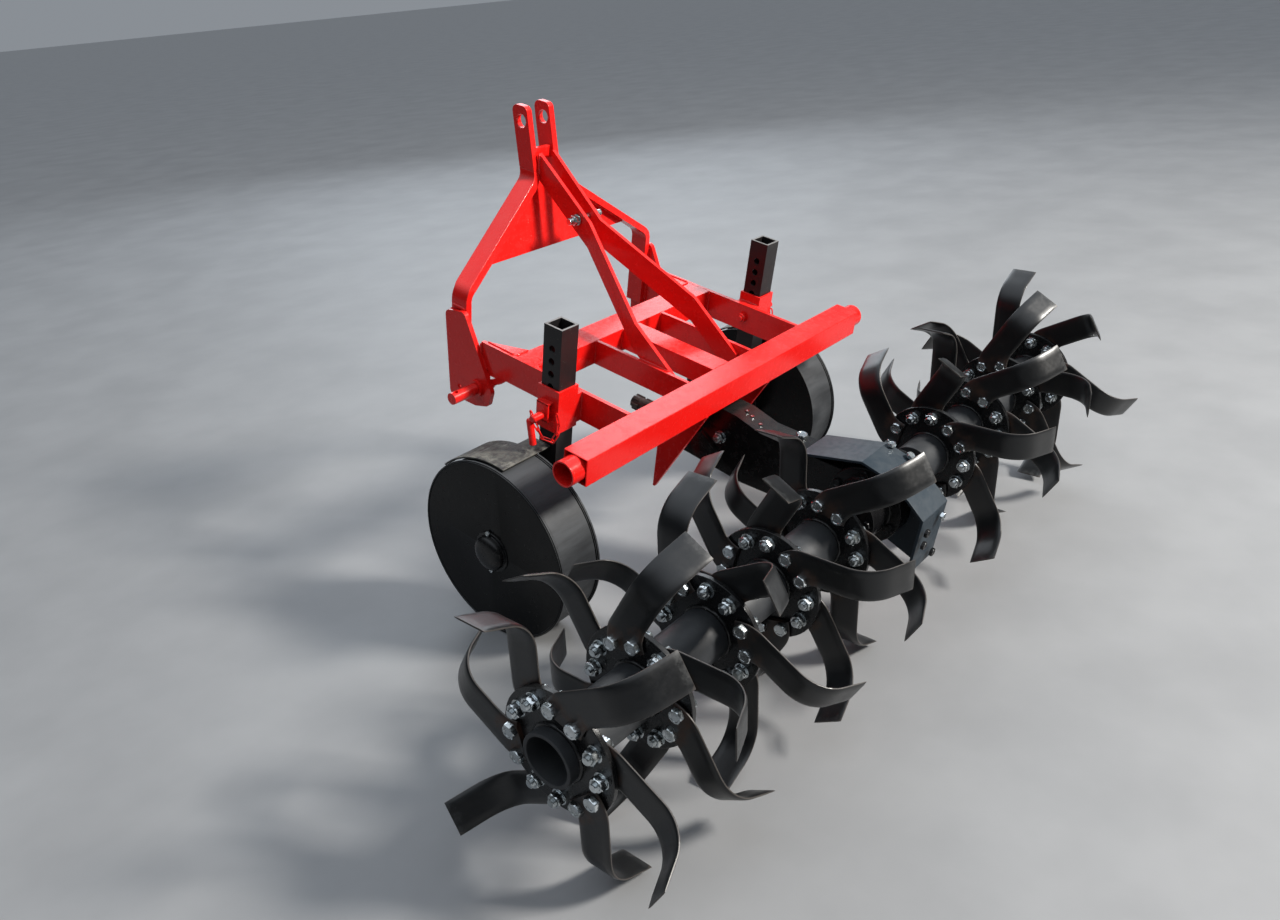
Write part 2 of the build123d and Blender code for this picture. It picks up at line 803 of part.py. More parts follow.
# Tines: a flat root on the flange, swept onward in the turn and bent along the axis.
# The first outline is seen along the rotor axis, outward and onward from the root.
tine_thick = 8.0
tine_root_start = 73.0
tine_root_half = 38.0
tine_root_flat = 6.0       # straight root edge left before each elbow begins
tine_blade_half = 31.0
tine_sweep = 42.0
tine_tip_turn = 28.0
tine_corner_out = 9.0      # the outer corner swings this far beyond the middle of the tip
tine_tip_mid = tine_tip_radius - tine_corner_out
tine_bend_radius = 68.0
tine_bend_angle = 80.0
tine_end_long = 33.0       # straight end beyond the bend
tine_over = 20.0           # the outline runs on past the bent end

tip_u = tine_tip_mid * cos(radians(tine_tip_turn))
tip_v = tine_tip_mid * sin(radians(tine_tip_turn))
sweep_cos = cos(radians(tine_sweep))
sweep_sin = sin(radians(tine_sweep))
tip_along = tip_u * sweep_cos + tip_v * sweep_sin
tip_across = tip_v * sweep_cos - tip_u * sweep_sin
bend_sin = sin(radians(tine_bend_angle))
bend_cos = cos(radians(tine_bend_angle))
bend_start = tip_along - (tine_bend_radius + tine_thick) * bend_sin - tine_end_long * bend_cos
end_top = tine_bend_radius * (1 - bend_cos) + tine_end_long * bend_sin


def swept(along, across):
    """Point of the outline from its place along and across the swept strip."""
    return (along * sweep_cos - across * sweep_sin, along * sweep_sin + across * sweep_cos)


def strip_edge(across, root_v):
    """Where an edge of the swept strip meets the line root_v of the root."""
    along = (root_v - across * sweep_cos) / sweep_sin
    return swept(along, across)


def elbow_radius(corner):
    """Radius of an elbow that leaves the root's edge straight for tine_root_flat."""
    return (corner[0] - tine_root_start - tine_root_flat) / tan(radians(tine_sweep / 2))


inner_across = tip_across + tine_blade_half
outer_across = tip_across - tine_blade_half
outer_corner = strip_edge(outer_across, -tine_root_half)
inner_corner = strip_edge(inner_across, tine_root_half)
strip_plane = Plane(
    origin=(0, 0, 0), x_dir=(sweep_cos, sweep_sin, 0), z_dir=(sweep_sin, -sweep_cos, 0)
)

with BuildPart() as right_tine:
    with BuildSketch(Plane.XY.offset(-tine_thick - 1)):
        with BuildLine():
            Polyline(
                (tine_root_start, -tine_root_half),
                outer_corner,
                swept(tip_along + tine_over, outer_across),
                swept(tip_along + tine_over, inner_across),
                inner_corner,
                (tine_root_start, tine_root_half),
                close=True,
            )
        make_face()
        for corner in (outer_corner, inner_corner):
            fillet(vertices().sort_by_distance(corner)[0], elbow_radius(corner))
    extrude(amount=tine_thick + end_top + tine_over)
    with BuildSketch(strip_plane):
        with BuildLine():
            Line((-tine_root_half * 2, 0), (bend_start, 0))
            inner = CenterArc(
                (bend_start, tine_bend_radius), tine_bend_radius, -90, tine_bend_angle
            )
            inner_end = PolarLine(inner @ 1, tine_end_long, tine_bend_angle)
            outer = CenterArc(
                (bend_start, tine_bend_radius),
                tine_bend_radius + tine_thick,
                -90,
                tine_bend_angle,
            )
            outer_end = PolarLine(outer @ 1, tine_end_long, tine_bend_angle)
            Line(inner_end @ 1, outer_end @ 1)
            Polyline(outer @ 0, (-tine_root_half * 2, -tine_thick), (-tine_root_half * 2, 0))
        make_face()
    extrude(amount=2 * tine_tip_radius, both=True, mode=Mode.INTERSECT)

left_tine = mirror(right_tine.part, about=Plane.XY)

for tines_name, rows in (
    ("left_tines", [row for row in flange_table if row[0] < 0]),
    ("right_tines", [row for row in flange_table if row[0] > 0]),
):
    with BuildPart() as tines:
        for x, first_turn in rows:
            for turn in (first_turn, first_turn + 120, first_turn + 240):
                with Locations(rotor_plane(x - flange_thick / 2, turn)):
                    add(right_tine.part)
                with Locations(rotor_plane(x + flange_thick / 2, turn + 60)):
                    add(left_tine)
    tines.part.label = tines_name
    export_step(tines.part, f"parts/{tines_name}.step")
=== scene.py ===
"""Looks of a three-point hitch rotary tiller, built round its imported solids.

All new pieces are worked out in the machine frame (x right, y forward, z up, millimetres, zero at
the middle of the rear beam's rear top edge) and are placed in the world in metres.
"""

import json
import logging
import math
from dataclasses import dataclass, field
from enum import Enum
from typing import Callable, ClassVar, Iterable, Sequence

import bmesh
import bpy
import numpy as np
from mathutils import Matrix, Vector


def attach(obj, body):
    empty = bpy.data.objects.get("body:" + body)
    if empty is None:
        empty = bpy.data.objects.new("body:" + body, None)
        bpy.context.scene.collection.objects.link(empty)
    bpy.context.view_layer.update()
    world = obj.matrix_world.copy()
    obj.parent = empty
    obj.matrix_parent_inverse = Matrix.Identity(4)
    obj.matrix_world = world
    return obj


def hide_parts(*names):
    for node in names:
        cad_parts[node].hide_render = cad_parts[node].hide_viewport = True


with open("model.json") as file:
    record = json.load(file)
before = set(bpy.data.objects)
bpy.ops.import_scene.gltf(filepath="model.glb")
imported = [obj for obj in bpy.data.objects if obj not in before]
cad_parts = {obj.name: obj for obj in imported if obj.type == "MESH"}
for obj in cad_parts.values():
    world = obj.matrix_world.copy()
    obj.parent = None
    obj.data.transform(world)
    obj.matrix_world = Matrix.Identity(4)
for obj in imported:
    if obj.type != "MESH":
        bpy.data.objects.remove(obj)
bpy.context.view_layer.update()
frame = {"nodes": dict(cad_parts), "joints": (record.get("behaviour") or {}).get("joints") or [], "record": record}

LOG = logging.getLogger("tiller")
MM = 0.001
SIDES = (-1, 1)

# The rotor axis in the machine frame
ROTOR_Y = -371.3
ROTOR_Z = -141.5

Point = Sequence[float]
Colour = tuple[float, float, float, float]
Seam = tuple[float, list[tuple[float, float, float]]]


# The machine frame


@dataclass(frozen=True)
class MachineFrame:
    """Where the leaning machine frame lies in the world."""

    lean: float
    zero: tuple[float, float, float] = (0.0, 0.0, 0.0)

    @classmethod
    def from_joints(cls, joints: Sequence[dict]) -> "MachineFrame":
        """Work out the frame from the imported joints.

        The input shaft points along the machine's y axis, so its axis gives the lean, and the
        rotor's joint lies at a known place of the machine, which gives the zero.

        Args:
            joints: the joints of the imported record.

        Returns:
            The machine frame.
        """
        by_name = {joint["name"]: joint for joint in joints}
        axis = by_name["input_shaft_spin"]["axis"]
        level = cls(lean=math.atan2(axis[2], axis[1]))
        offset = level.turn((0.0, ROTOR_Y, ROTOR_Z)) * MM
        return cls(level.lean, tuple(np.asarray(by_name["rotor_spin"]["pos_m"]) - offset))

    def turn(self, vectors: np.ndarray) -> np.ndarray:
        """Lean directions of the machine frame into the world.

        With the lean a, y' = y cos a - z sin a and z' = y sin a + z cos a.

        Args:
            vectors: directions with x, y, z on the last axis.

        Returns:
            The same directions in the world.
        """
        v = np.asarray(vectors, float)
        c, s = math.cos(self.lean), math.sin(self.lean)
        y, z = v[..., 1] * c - v[..., 2] * s, v[..., 1] * s + v[..., 2] * c
        return np.stack([v[..., 0], y, z], -1)

    def place(self, points: np.ndarray) -> np.ndarray:
        """Points in machine millimetres, as world metres."""
        return self.turn(points) * MM + np.asarray(self.zero)

    def plumb(self) -> np.ndarray:
        """Straight down in the world, as a direction of the machine frame."""
        return np.array([0.0, -math.sin(self.lean), -math.cos(self.lean)])


MACHINE = MachineFrame.from_joints(frame["joints"])


# Surfaces


@dataclass
class Shape:
    """A mesh being gathered from grids: points, quads and named values at the points."""

    points: list[np.ndarray] = field(default_factory=list)
    quads: list[np.ndarray] = field(default_factory=list)
    values: dict[str, list[np.ndarray]] = field(default_factory=dict)
    count: int = 0

    def grid(self, points: np.ndarray, **values: np.ndarray) -> "Shape":
        """Add one surface given on a grid whose last column joins the first.

        Args:
            points: array of rows, columns and x, y, z.
            values: arrays of rows and columns, kept as attributes of the points.

        Returns:
            This shape, so that calls can follow each other.
        """
        rows, columns = points.shape[:2]
        left = np.arange(rows * columns).reshape(rows, columns) + self.count
        right = np.roll(left, -1, 1)
        quads = np.stack([left[:-1], right[:-1], right[1:], left[1:]], -1)
        self.points.append(points.reshape(-1, 3))
        self.quads.append(quads.reshape(-1, 4))
        for name, value in values.items():
            spread = np.broadcast_to(value, (rows, columns)).ravel()
            self.values.setdefault(name, []).append(spread)
        self.count += rows * columns
        return self

    def copies(self, places: Sequence[np.ndarray]) -> "Shape":
        """Repeat the whole shape: in each copy a point p lies at turn p + shift.

        Args:
            places: a 3 by 4 matrix for each copy, first its turn and then its shift.

        Returns:
            A new shape with all the copies.
        """
        turns = np.array(places)
        base, quads = np.concatenate(self.points), np.concatenate(self.quads)
        moved = np.einsum("nij,pj->npi", turns[:, :, :3], base) + turns[:, None, :, 3]
        steps = np.arange(len(turns))[:, None, None] * len(base)
        made = Shape([moved.reshape(-1, 3)], [(quads[None] + steps).reshape(-1, 4)])
        made.values = {k: [np.tile(np.concatenate(v), len(turns))] for k, v in self.values.items()}
        made.count = len(base) * len(turns)
        return made

    def join(self, other: "Shape") -> "Shape":
        """Take in all the faces of another shape.

        Args:
            other: a shape with the same named values.

        Returns:
            This shape, so that calls can follow each other.
        """
        self.points += other.points
        self.quads += [quads + self.count for quads in other.quads]
        for name, value in other.values.items():
            self.values.setdefault(name, []).extend(value)
        self.count += other.count
        return self

    def build(self, name: str, body: str, coat: "Coat", smooth_deg: float) -> bpy.types.Object:
        """Make the mesh object, close its seams and poles and dress it.

        Args:
            name: name of the piece.
            body: CAD body that it rides on.
            coat: its finish.
            smooth_deg: edges sharper than this stay sharp.

        Returns:
            The new object, at the origin, with its place in its mesh.
        """
        mesh = bpy.data.meshes.new(name)
        world = MACHINE.place(np.concatenate(self.points))
        mesh.from_pydata(world.tolist(), [], np.concatenate(self.quads).tolist())
        for key, value in self.values.items():
            layer = mesh.attributes.new(key, "FLOAT", "POINT")
            layer.data.foreach_set("value", np.concatenate(value).astype(np.float32))
        weld(mesh, outward=True)
        return dress(mesh, name, body, coat, smooth_deg)


def weld(mesh: bpy.types.Mesh, outward: bool) -> None:
    """Merge doubled points and drop faces with no area.

    Args:
        mesh: the mesh, changed in place.
        outward: whether the faces are turned outwards as well.
    """
    bm = bmesh.new()
    bm.from_mesh(mesh)
    bmesh.ops.remove_doubles(bm, verts=bm.verts, dist=2e-6)
    bmesh.ops.dissolve_degenerate(bm, edges=bm.edges, dist=1e-7)
    if outward:
        bmesh.ops.recalc_face_normals(bm, faces=bm.faces)
    bm.to_mesh(mesh)
    bm.free()


def dress(
    mesh: bpy.types.Mesh, name: str, body: str, coat: "Coat", smooth_deg: float
) -> bpy.types.Object:
    """Put a mesh into the scene as a piece that rides on a body.

    Args:
        mesh: finished mesh in world metres.
        name: name of the piece.
        body: CAD body that it rides on.
        coat: its finish.
        smooth_deg: edges sharper than this stay sharp.

    Returns:
        The new object.
    """
    piece = bpy.data.objects.new(name, mesh)
    bpy.context.scene.collection.objects.link(piece)
    mesh.shade_smooth()
    mesh.set_sharp_from_angle(angle=math.radians(smooth_deg))
    mesh.materials.clear()
    mesh.materials.append(coat.value.material())
    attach(piece, body)
    LOG.info("%s: %d faces", name, len(mesh.polygons))
    return piece


def axes_at(origin: Point, outward: Point, up: Point) -> np.ndarray:
    """A placing matrix with z along outward and x as near to up as it can be.

    Args:
        origin: where the shape's zero goes.
        outward: direction of its z axis.
        up: direction that its x axis leans towards.

    Returns:
        A 3 by 4 matrix, first the turn and then the shift.
    """
    z = np.asarray(outward, float) / np.linalg.norm(outward)
    x = np.asarray(up, float) - z * np.dot(up, z)
    x /= np.linalg.norm(x)
    return np.column_stack([x, np.cross(z, x), z, np.asarray(origin, float)])


def turned(profile: Sequence[Point], sides: int = 24, flats: float = 0.0) -> Shape:
    """A profile of radius and height turned about z.

    The radius at angle a is the profile's, or for a hexagon no more than
    flats / 2 / cos(a - nearest multiple of 60 degrees).

    Args:
        profile: pairs of radius and height, from one pole to the other.
        sides: number of columns round the axis.
        flats: width across flats of a hexagon that cuts the turned shape, or 0.

    Returns:
        The turned shape.
    """
    angle = np.arange(sides) * 2 * math.pi / sides
    radius, height = (np.outer(column, np.ones(sides)) for column in np.transpose(profile))
    if flats:
        wedge = (angle + math.pi / 6) % (math.pi / 3) - math.pi / 6
        radius = np.minimum(radius, flats / 2 / np.cos(wedge)[None])
    return Shape().grid(np.stack([radius * np.cos(angle), radius * np.sin(angle), height], -1))


def swept(path: np.ndarray, section: np.ndarray, side: Point, closed: bool = False) -> Shape:
    """A section carried along a path, with its ends drawn together to a point.

    At each station the section's first axis is the given side made square to the path, and its
    second is the cross product of the path's direction and that side.

    Args:
        path: array of points in machine millimetres.
        section: closed outline, one array of pairs for all stations or one for each.
        side: direction that the first axis leans towards.
        closed: whether the path is a ring.

    Returns:
        The swept shape.
    """
    path, side = np.asarray(path, float), np.asarray(side, float)
    ahead = np.roll(path, -1, 0) - np.roll(path, 1, 0) if closed else np.gradient(path, axis=0)
    ahead /= np.linalg.norm(ahead, axis=1)[:, None]
    first = side - ahead * (ahead @ side)[:, None]
    first /= np.linalg.norm(first, axis=1)[:, None]
    second = np.cross(ahead, first)
    section = np.broadcast_to(section, (len(path),) + np.shape(section)[-2:])
    rows = path[:, None] + section[..., :1] * first[:, None] + section[..., 1:] * second[:, None]
    if closed:
        return Shape().grid(np.concatenate([rows, rows[:1]]))
    middle = np.broadcast_to(path[:, None], rows.shape)
    return Shape().grid(np.concatenate([middle[:1], rows, middle[-1:]]))


def circle(radius: float, sides: int) -> np.ndarray:
    """Outline of a circle as pairs, going round once."""
    angle = np.arange(sides) * 2 * math.pi / sides
    return radius * np.stack([np.cos(angle), np.sin(angle)], -1)


def rounded_box(wide: float, high: float, corner: float) -> np.ndarray:
    """Outline of a rectangle about zero whose corners are quarter circles of three chords.

    Args:
        wide: its width.
        high: its height.
        corner: radius of its corners.

    Returns:
        The outline as pairs, going round once.
    """
    quarter = np.radians([0.0, 30.0, 60.0, 90.0])
    parts = []
    for turn, (sx, sy) in enumerate(((1, 1), (-1, 1), (-1, -1), (1, -1))):
        angle = quarter + turn * math.pi / 2
        middle = np.array([sx * (wide / 2 - corner), sy * (high / 2 - corner)])
        parts.append(middle + corner * np.stack([np.cos(angle), np.sin(angle)], -1))
    return np.concatenate(parts)


def run_along(path: np.ndarray) -> np.ndarray:
    """Distance along a path at each of its points."""
    steps = np.linalg.norm(np.diff(path, axis=0), axis=1)
    return np.concatenate([[0.0], np.cumsum(steps)])


def spots_along(path: np.ndarray, distances: np.ndarray) -> np.ndarray:
    """Points of a path at the given distances along it."""
    run = run_along(path)
    return np.stack([np.interp(distances, run, path[:, k]) for k in range(3)], -1)


def bead(path: np.ndarray, radius: float, closed: bool = False, pitch: float = 5.0) -> Shape:
    """A weld bead: a round section whose radius swells a little at every pass of the torch.

    The radius at distance s is r (0.9 + 0.1 |cos(pi s / pitch)|) with a slow drift, and it dies
    away over the first and last pass of an open bead.

    Args:
        path: corner points of the seam in machine millimetres, or a dense ring.
        radius: radius of the bead.
        closed: whether the seam is a ring.
        pitch: distance between two passes.

    Returns:
        The bead.
    """
    path = np.asarray(path, float)
    s = run_along(path)
    if not closed:
        s = np.linspace(0.0, s[-1], max(int(s[-1] / pitch * 3), 6))
    dense = path if closed else spots_along(path, s)
    drift = 0.06 * np.sin(s / 17.0 + path[0].sum())
    size = radius * (0.9 + 0.1 * np.abs(np.cos(math.pi * s / pitch)) + drift)
    if not closed:
        size *= np.sqrt(np.clip(np.minimum(s, s[-1] - s) / pitch + 0.1, 0.0, 1.0))
    ahead = dense[1] - dense[0]
    crossing = closed or abs(ahead[0]) < 0.9 * np.linalg.norm(ahead)
    side = (1.0, 0.0, 0.0) if crossing else (0.0, 0.0, 1.0)
    return swept(dense, circle(1.0, 8)[None] * size[:, None, None], side, closed)


def ring(x: float, y: float, z: float, radius: float, count: int) -> np.ndarray:
    """Points of a ring about an axis that runs along x."""
    return np.column_stack([np.full(count, x), circle(radius, count) + (y, z)])


def on_ring(
    x: float, radius: float, degrees: float, y: float = ROTOR_Y, z: float = ROTOR_Z
) -> tuple[float, float, float]:
    """The point of a ring about x that lies at an angle from forward towards up."""
    angle = math.radians(degrees)
    return x, y + radius * math.cos(angle), z + radius * math.sin(angle)


def gathered(shapes: Iterable[Shape]) -> Shape:
    """Join shapes into one.

    Args:
        shapes: the shapes, all with the same named values.

    Returns:
        A new shape with all their faces.
    """
    whole = Shape()
    for shape in shapes:
        whole.join(shape)
    return whole


# Materials


class Graph:
    """Short way to build a shader node tree."""

    def __init__(self, tree: bpy.types.NodeTree) -> None:
        """Keep the tree that is built."""
        self.tree = tree

    def put(self, socket: bpy.types.NodeSocket, value: object) -> None:
        """Feed an input socket.

        Args:
            socket: the input.
            value: an output to link into it, or the value that it takes by itself.
        """
        if isinstance(value, bpy.types.NodeSocket):
            self.tree.links.new(value, socket)
        else:
            socket.default_value = value

    def node(self, kind: str, settings: dict | None = None, **inputs: object) -> bpy.types.Node:
        """Add one node.

        Args:
            kind: node type without its ShaderNode prefix.
            settings: attributes of the node.
            inputs: values or sockets by name, spaces as underscores, or by place: in0, in1.

        Returns:
            The node.
        """
        made = self.tree.nodes.new(kind if kind.startswith("Node") else "ShaderNode" + kind)
        for key, value in (settings or {}).items():
            setattr(made, key, value)
        for key, value in inputs.items():
            by_place = key[:2] == "in" and key[2:].isdigit()
            self.put(made.inputs[int(key[2:]) if by_place else key.replace("_", " ")], value)
        return made

    def math(self, operation: str, *values: object, clamp: bool = False) -> bpy.types.NodeSocket:
        """Add a Math node.

        Args:
            operation: what the node works out.
            values: its numbers or sockets, in order.
            clamp: whether the result is held between 0 and 1.

        Returns:
            The result's socket.
        """
        inputs = {f"in{place}": value for place, value in enumerate(values)}
        settings = {"operation": operation, "use_clamp": clamp}
        return self.node("Math", settings, **inputs).outputs[0]

    def times(self, a: object, b: object) -> bpy.types.NodeSocket:
        """The product of two values."""
        return self.math("MULTIPLY", a, b)

    def scaled(
        self, a: object, by: float, plus: object, clamp: bool = False
    ) -> bpy.types.NodeSocket:
        """A value times a number, plus another value."""
        return self.math("MULTIPLY_ADD", a, by, plus, clamp=clamp)

    def span(self, value: object, low: float, high: float) -> bpy.types.NodeSocket:
        """Bring a value to 0 at low and 1 at high, eased in between.

        Args:
            value: the value or socket.
            low: where the result is 0, which may lie above high.
            high: where the result is 1.

        Returns:
            The result's socket.
        """
        settings = {"interpolation_type": "SMOOTHSTEP"}
        ends = {"From_Min": low, "From_Max": high}
        return self.node("MapRange", settings, Value=value, **ends).outputs[0]

    def mix(self, factor: object, a: object, b: object) -> bpy.types.NodeSocket:
        """Colour a where the factor is 0 and b where it is 1."""
        return self.node("Mix", {"data_type": "RGBA"}, in0=factor, in6=a, in7=b).outputs[2]

    def noise(
        self, where: object, scale: object, detail: float = 4.0, rough: float = 0.55
    ) -> bpy.types.NodeSocket:
        """Noise of a given scale, in cells per metre, as a value."""
        inputs = {"Vector": where, "Scale": scale, "Detail": detail, "Roughness": rough}
        return self.node("TexNoise", None, **inputs).outputs["Fac"]


def rgb(red: float, green: float, blue: float) -> Colour:
    """A linear colour with full alpha."""
    return (red, green, blue, 1.0)


def shade(colour: Colour, factor: float) -> Colour:
    """A colour made darker or lighter."""
    return rgb(*(part * factor for part in colour[:3]))


@dataclass(frozen=True)
class Effect:
    """A mask or height that several finishes share, as a node group."""

    name: str
    output: str
    inputs: tuple[str, ...]
    recipe: Callable[[Graph, bpy.types.NodeOutputs], bpy.types.NodeSocket]

    def tree(self) -> bpy.types.NodeTree:
        """Make the node group on its first use.

        Returns:
            The node group.
        """
        found = bpy.data.node_groups.get(self.name)
        if found:
            return found
        tree = bpy.data.node_groups.new(self.name, "ShaderNodeTree")
        tree.interface.new_socket("Vector", in_out="INPUT", socket_type="NodeSocketVector")
        for name in self.inputs:
            tree.interface.new_socket(name, in_out="INPUT", socket_type="NodeSocketFloat")
        tree.interface.new_socket(self.output, in_out="OUTPUT", socket_type="NodeSocketFloat")
        graph = Graph(tree)
        result = self.recipe(graph, graph.node("NodeGroupInput").outputs)
        graph.node("NodeGroupOutput", None, in0=result)
        return tree


def dust_on_top(graph: Graph, source: bpy.types.NodeOutputs) -> bpy.types.NodeSocket:
    """Dust mask: more where a surface faces up, broken by noise.

    Args:
        graph: the group's tree.
        source: the group's inputs.

    Returns:
        The socket of the mask or height.
    """
    normal = graph.node("NewGeometry").outputs["Normal"]
    up = graph.span(graph.node("SeparateXYZ", None, Vector=normal).outputs["Z"], -0.2, 1.0)
    patch = graph.span(graph.noise(source["Vector"], source["Scale"], 6.0, 0.65), 0.35, 0.72)
    return graph.times(graph.times(up, patch), source["Amount"])


def coat_skin(graph: Graph, source: bpy.types.NodeOutputs) -> bpy.types.NodeSocket:
    """Height of a sprayed coat: fine orange peel over slow waves.

    Args:
        graph: the group's tree.
        source: the group's inputs.

    Returns:
        The socket of the mask or height.
    """
    peel = graph.times(graph.noise(source["Vector"], 420.0, 2.0), source["Peel"])
    wave = graph.times(graph.noise(source["Vector"], 9.0, 2.0), source["Wave"])
    return graph.math("ADD", peel, wave)


def ragged_patches(graph: Graph, source: bpy.types.NodeOutputs) -> bpy.types.NodeSocket:
    """Ragged patches: a soft mask, Near, roughened by noise.

    Args:
        graph: the group's tree.
        source: the group's inputs.

    Returns:
        The socket of the mask or height.
    """
    grain = graph.noise(source["Vector"], source["Scale"], 8.0, 0.7)
    both = graph.math("ADD", source["Near"], graph.math("SUBTRACT", grain, 0.5))
    return graph.times(graph.span(both, 0.35, 0.65), source["Amount"])


def fine_specks(graph: Graph, source: bpy.types.NodeOutputs) -> bpy.types.NodeSocket:
    """Small scattered specks where a fine noise peaks.

    Args:
        graph: the group's tree.
        source: the group's inputs.

    Returns:
        The socket of the mask or height.
    """
    fine = graph.span(graph.noise(source["Vector"], source["Scale"], 3.0), 0.66, 0.72)
    broad = graph.span(graph.noise(source["Vector"], 7.0, 3.0), 0.42, 0.62)
    return graph.times(graph.times(fine, broad), source["Amount"])


DUST = Effect("dust_on_top", "Mask", ("Amount", "Scale"), dust_on_top)
SKIN = Effect("coat_skin", "Height", ("Peel", "Wave"), coat_skin)
PATCHES = Effect("ragged_patches", "Mask", ("Near", "Scale", "Amount"), ragged_patches)
SPECKS = Effect("fine_specks", "Mask", ("Scale", "Amount"), fine_specks)


class Coating(Graph):
    """The node tree of one material, with its Object coordinates and its shader."""

    def __init__(self, tree: bpy.types.NodeTree) -> None:
        """Empty the tree and place the coordinates, the shader and the output.

        Args:
            tree: the material's node tree.
        """
        super().__init__(tree)
        tree.nodes.clear()
        self.where = self.node("TexCoord").outputs["Object"]
        self.shader = self.node("BsdfPrincipled")
        self.node("OutputMaterial", None, Surface=self.shader.outputs[0])

    def feed(self, **values: object) -> None:
        """Put values or sockets into the shader's inputs, spaces as underscores."""
        for key, value in values.items():
            self.put(self.shader.inputs[key.replace("_", " ")], value)

    def fed(self, name: str) -> bpy.types.NodeSocket:
        """The socket that feeds an input of the shader so far."""
        return self.shader.inputs[name].links[0].from_socket

    def patchy(
        self, scale: float, detail: float, low: float, high: float, rough: float = 0.55
    ) -> bpy.types.NodeSocket:
        """Noise of a given scale brought to 0 at low and 1 at high."""
        return self.span(self.noise(self.where, scale, detail, rough), low, high)

    def stretched(self, *scale: float) -> bpy.types.NodeSocket:
        """The coordinates scaled along each axis."""
        return self.node("Mapping", None, Vector=self.where, Scale=scale).outputs[0]

    def effect(self, effect: Effect, **values: object) -> bpy.types.NodeSocket:
        """Place a shared effect and return its only output."""
        settings = {"node_tree": effect.tree()}
        return self.node("Group", settings, Vector=self.where, **values).outputs[0]

    def lift(self, height: object, distance: float) -> None:
        """Feed a height into the shader's normal through a Bump node."""
        bump = self.node("Bump", None, Height=height, Strength=0.5, Distance=distance)
        self.feed(Normal=bump.outputs[0])


@dataclass(frozen=True)
class Finish:
    """A paint and the values that its nodes take."""

    name: str
    slot: str
    colour: Colour
    rough: float = 0.4
    metal: float = 0.0
    coat: float = 0.0
    specular: float = 0.5
    dust: float = 0.3
    dust_colour: Colour = rgb(0.23, 0.22, 0.2)
    drift: float = 0.8
    specks: float = 0.3

    def material(self) -> bpy.types.Material:
        """Make the material on its first use.

        Returns:
            The material.
        """
        found = bpy.data.materials.get(self.name)
        if found:
            return found
        made = bpy.data.materials.new(self.name)
        made.use_nodes = True
        paint = Coating(made.node_tree)
        paint.feed(Metallic=self.metal, Specular_IOR_Level=self.specular)
        paint.feed(Coat_Weight=self.coat, Coat_Roughness=0.1)
        self.nodes(paint)
        return made

    def nodes(self, paint: Coating) -> None:
        """Paint with slow colour drift, dust on top, small specks and a sprayed skin.

        Args:
            paint: the material's tree.
        """
        plain = paint.mix(
            paint.patchy(5.0, 3.0, 0.3, 0.7), shade(self.colour, self.drift), self.colour
        )
        dust = paint.effect(DUST, Amount=self.dust, Scale=14.0)
        specks = paint.effect(SPECKS, Scale=150.0, Amount=self.specks)
        dirt = paint.math("MAXIMUM", dust, specks)
        rough = paint.scaled(paint.patchy(70.0, 5.0, 0.35, 0.75), 0.12, self.rough - 0.05)
        paint.feed(
            Base_Color=paint.mix(dirt, plain, self.dust_colour),
            Roughness=paint.scaled(dirt, 0.5, rough, clamp=True),
        )
        paint.lift(paint.effect(SKIN, Peel=0.25, Wave=0.5), 0.0005)


@dataclass(frozen=True)
class PostFinish(Finish):
    """Brown-black paint of the posts, with bare steel on the sawn end."""

    sawn_z: float = 161.2
    fade: float = 0.0006
    bare: Colour = rgb(0.12, 0.115, 0.11)

    def nodes(self, paint: Coating) -> None:
        """Paint as the others, then bare steel where the place lies past the sawn end.

        Args:
            paint: the material's tree.
        """
        super().nodes(paint)
        upright = -MACHINE.plumb() * (1, -1, 1)
        start = float(MACHINE.place(np.array([0.0, 0.0, self.sawn_z])) @ upright)
        settings = {"operation": "DOT_PRODUCT"}
        height = paint.node("VectorMath", settings, in0=paint.where, in1=tuple(upright))
        bare = paint.span(height.outputs["Value"], start, start + self.fade)
        paint.feed(Base_Color=paint.mix(bare, paint.fed("Base Color"), self.bare))


@dataclass(frozen=True)
class WheelFinish(Finish):
    """Gloss black discs, and a drum whose rolling face is worn to a dull grey."""

    drum: Colour = rgb(0.05, 0.053, 0.057)

    def nodes(self, paint: Coating) -> None:
        """Paint as the others, greyer and rougher where the surface doesn't face sideways.

        Args:
            paint: the material's tree.
        """
        super().nodes(paint)
        normal = paint.node("NewGeometry").outputs["Normal"]
        across = paint.node("SeparateXYZ", None, Vector=normal).outputs["X"]
        rolling = paint.span(paint.math("ABSOLUTE", across), 0.7, 0.3)
        grain = paint.noise(paint.stretched(6.0, 40.0, 40.0), 1.0, 5.0, 0.65)
        mask = paint.times(rolling, paint.scaled(paint.span(grain, 0.25, 0.7), 0.5, 0.5))
        paint.feed(
            Base_Color=paint.mix(mask, paint.fed("Base Color"), self.drum),
            Roughness=paint.scaled(mask, 0.34, paint.fed("Roughness"), clamp=True),
        )


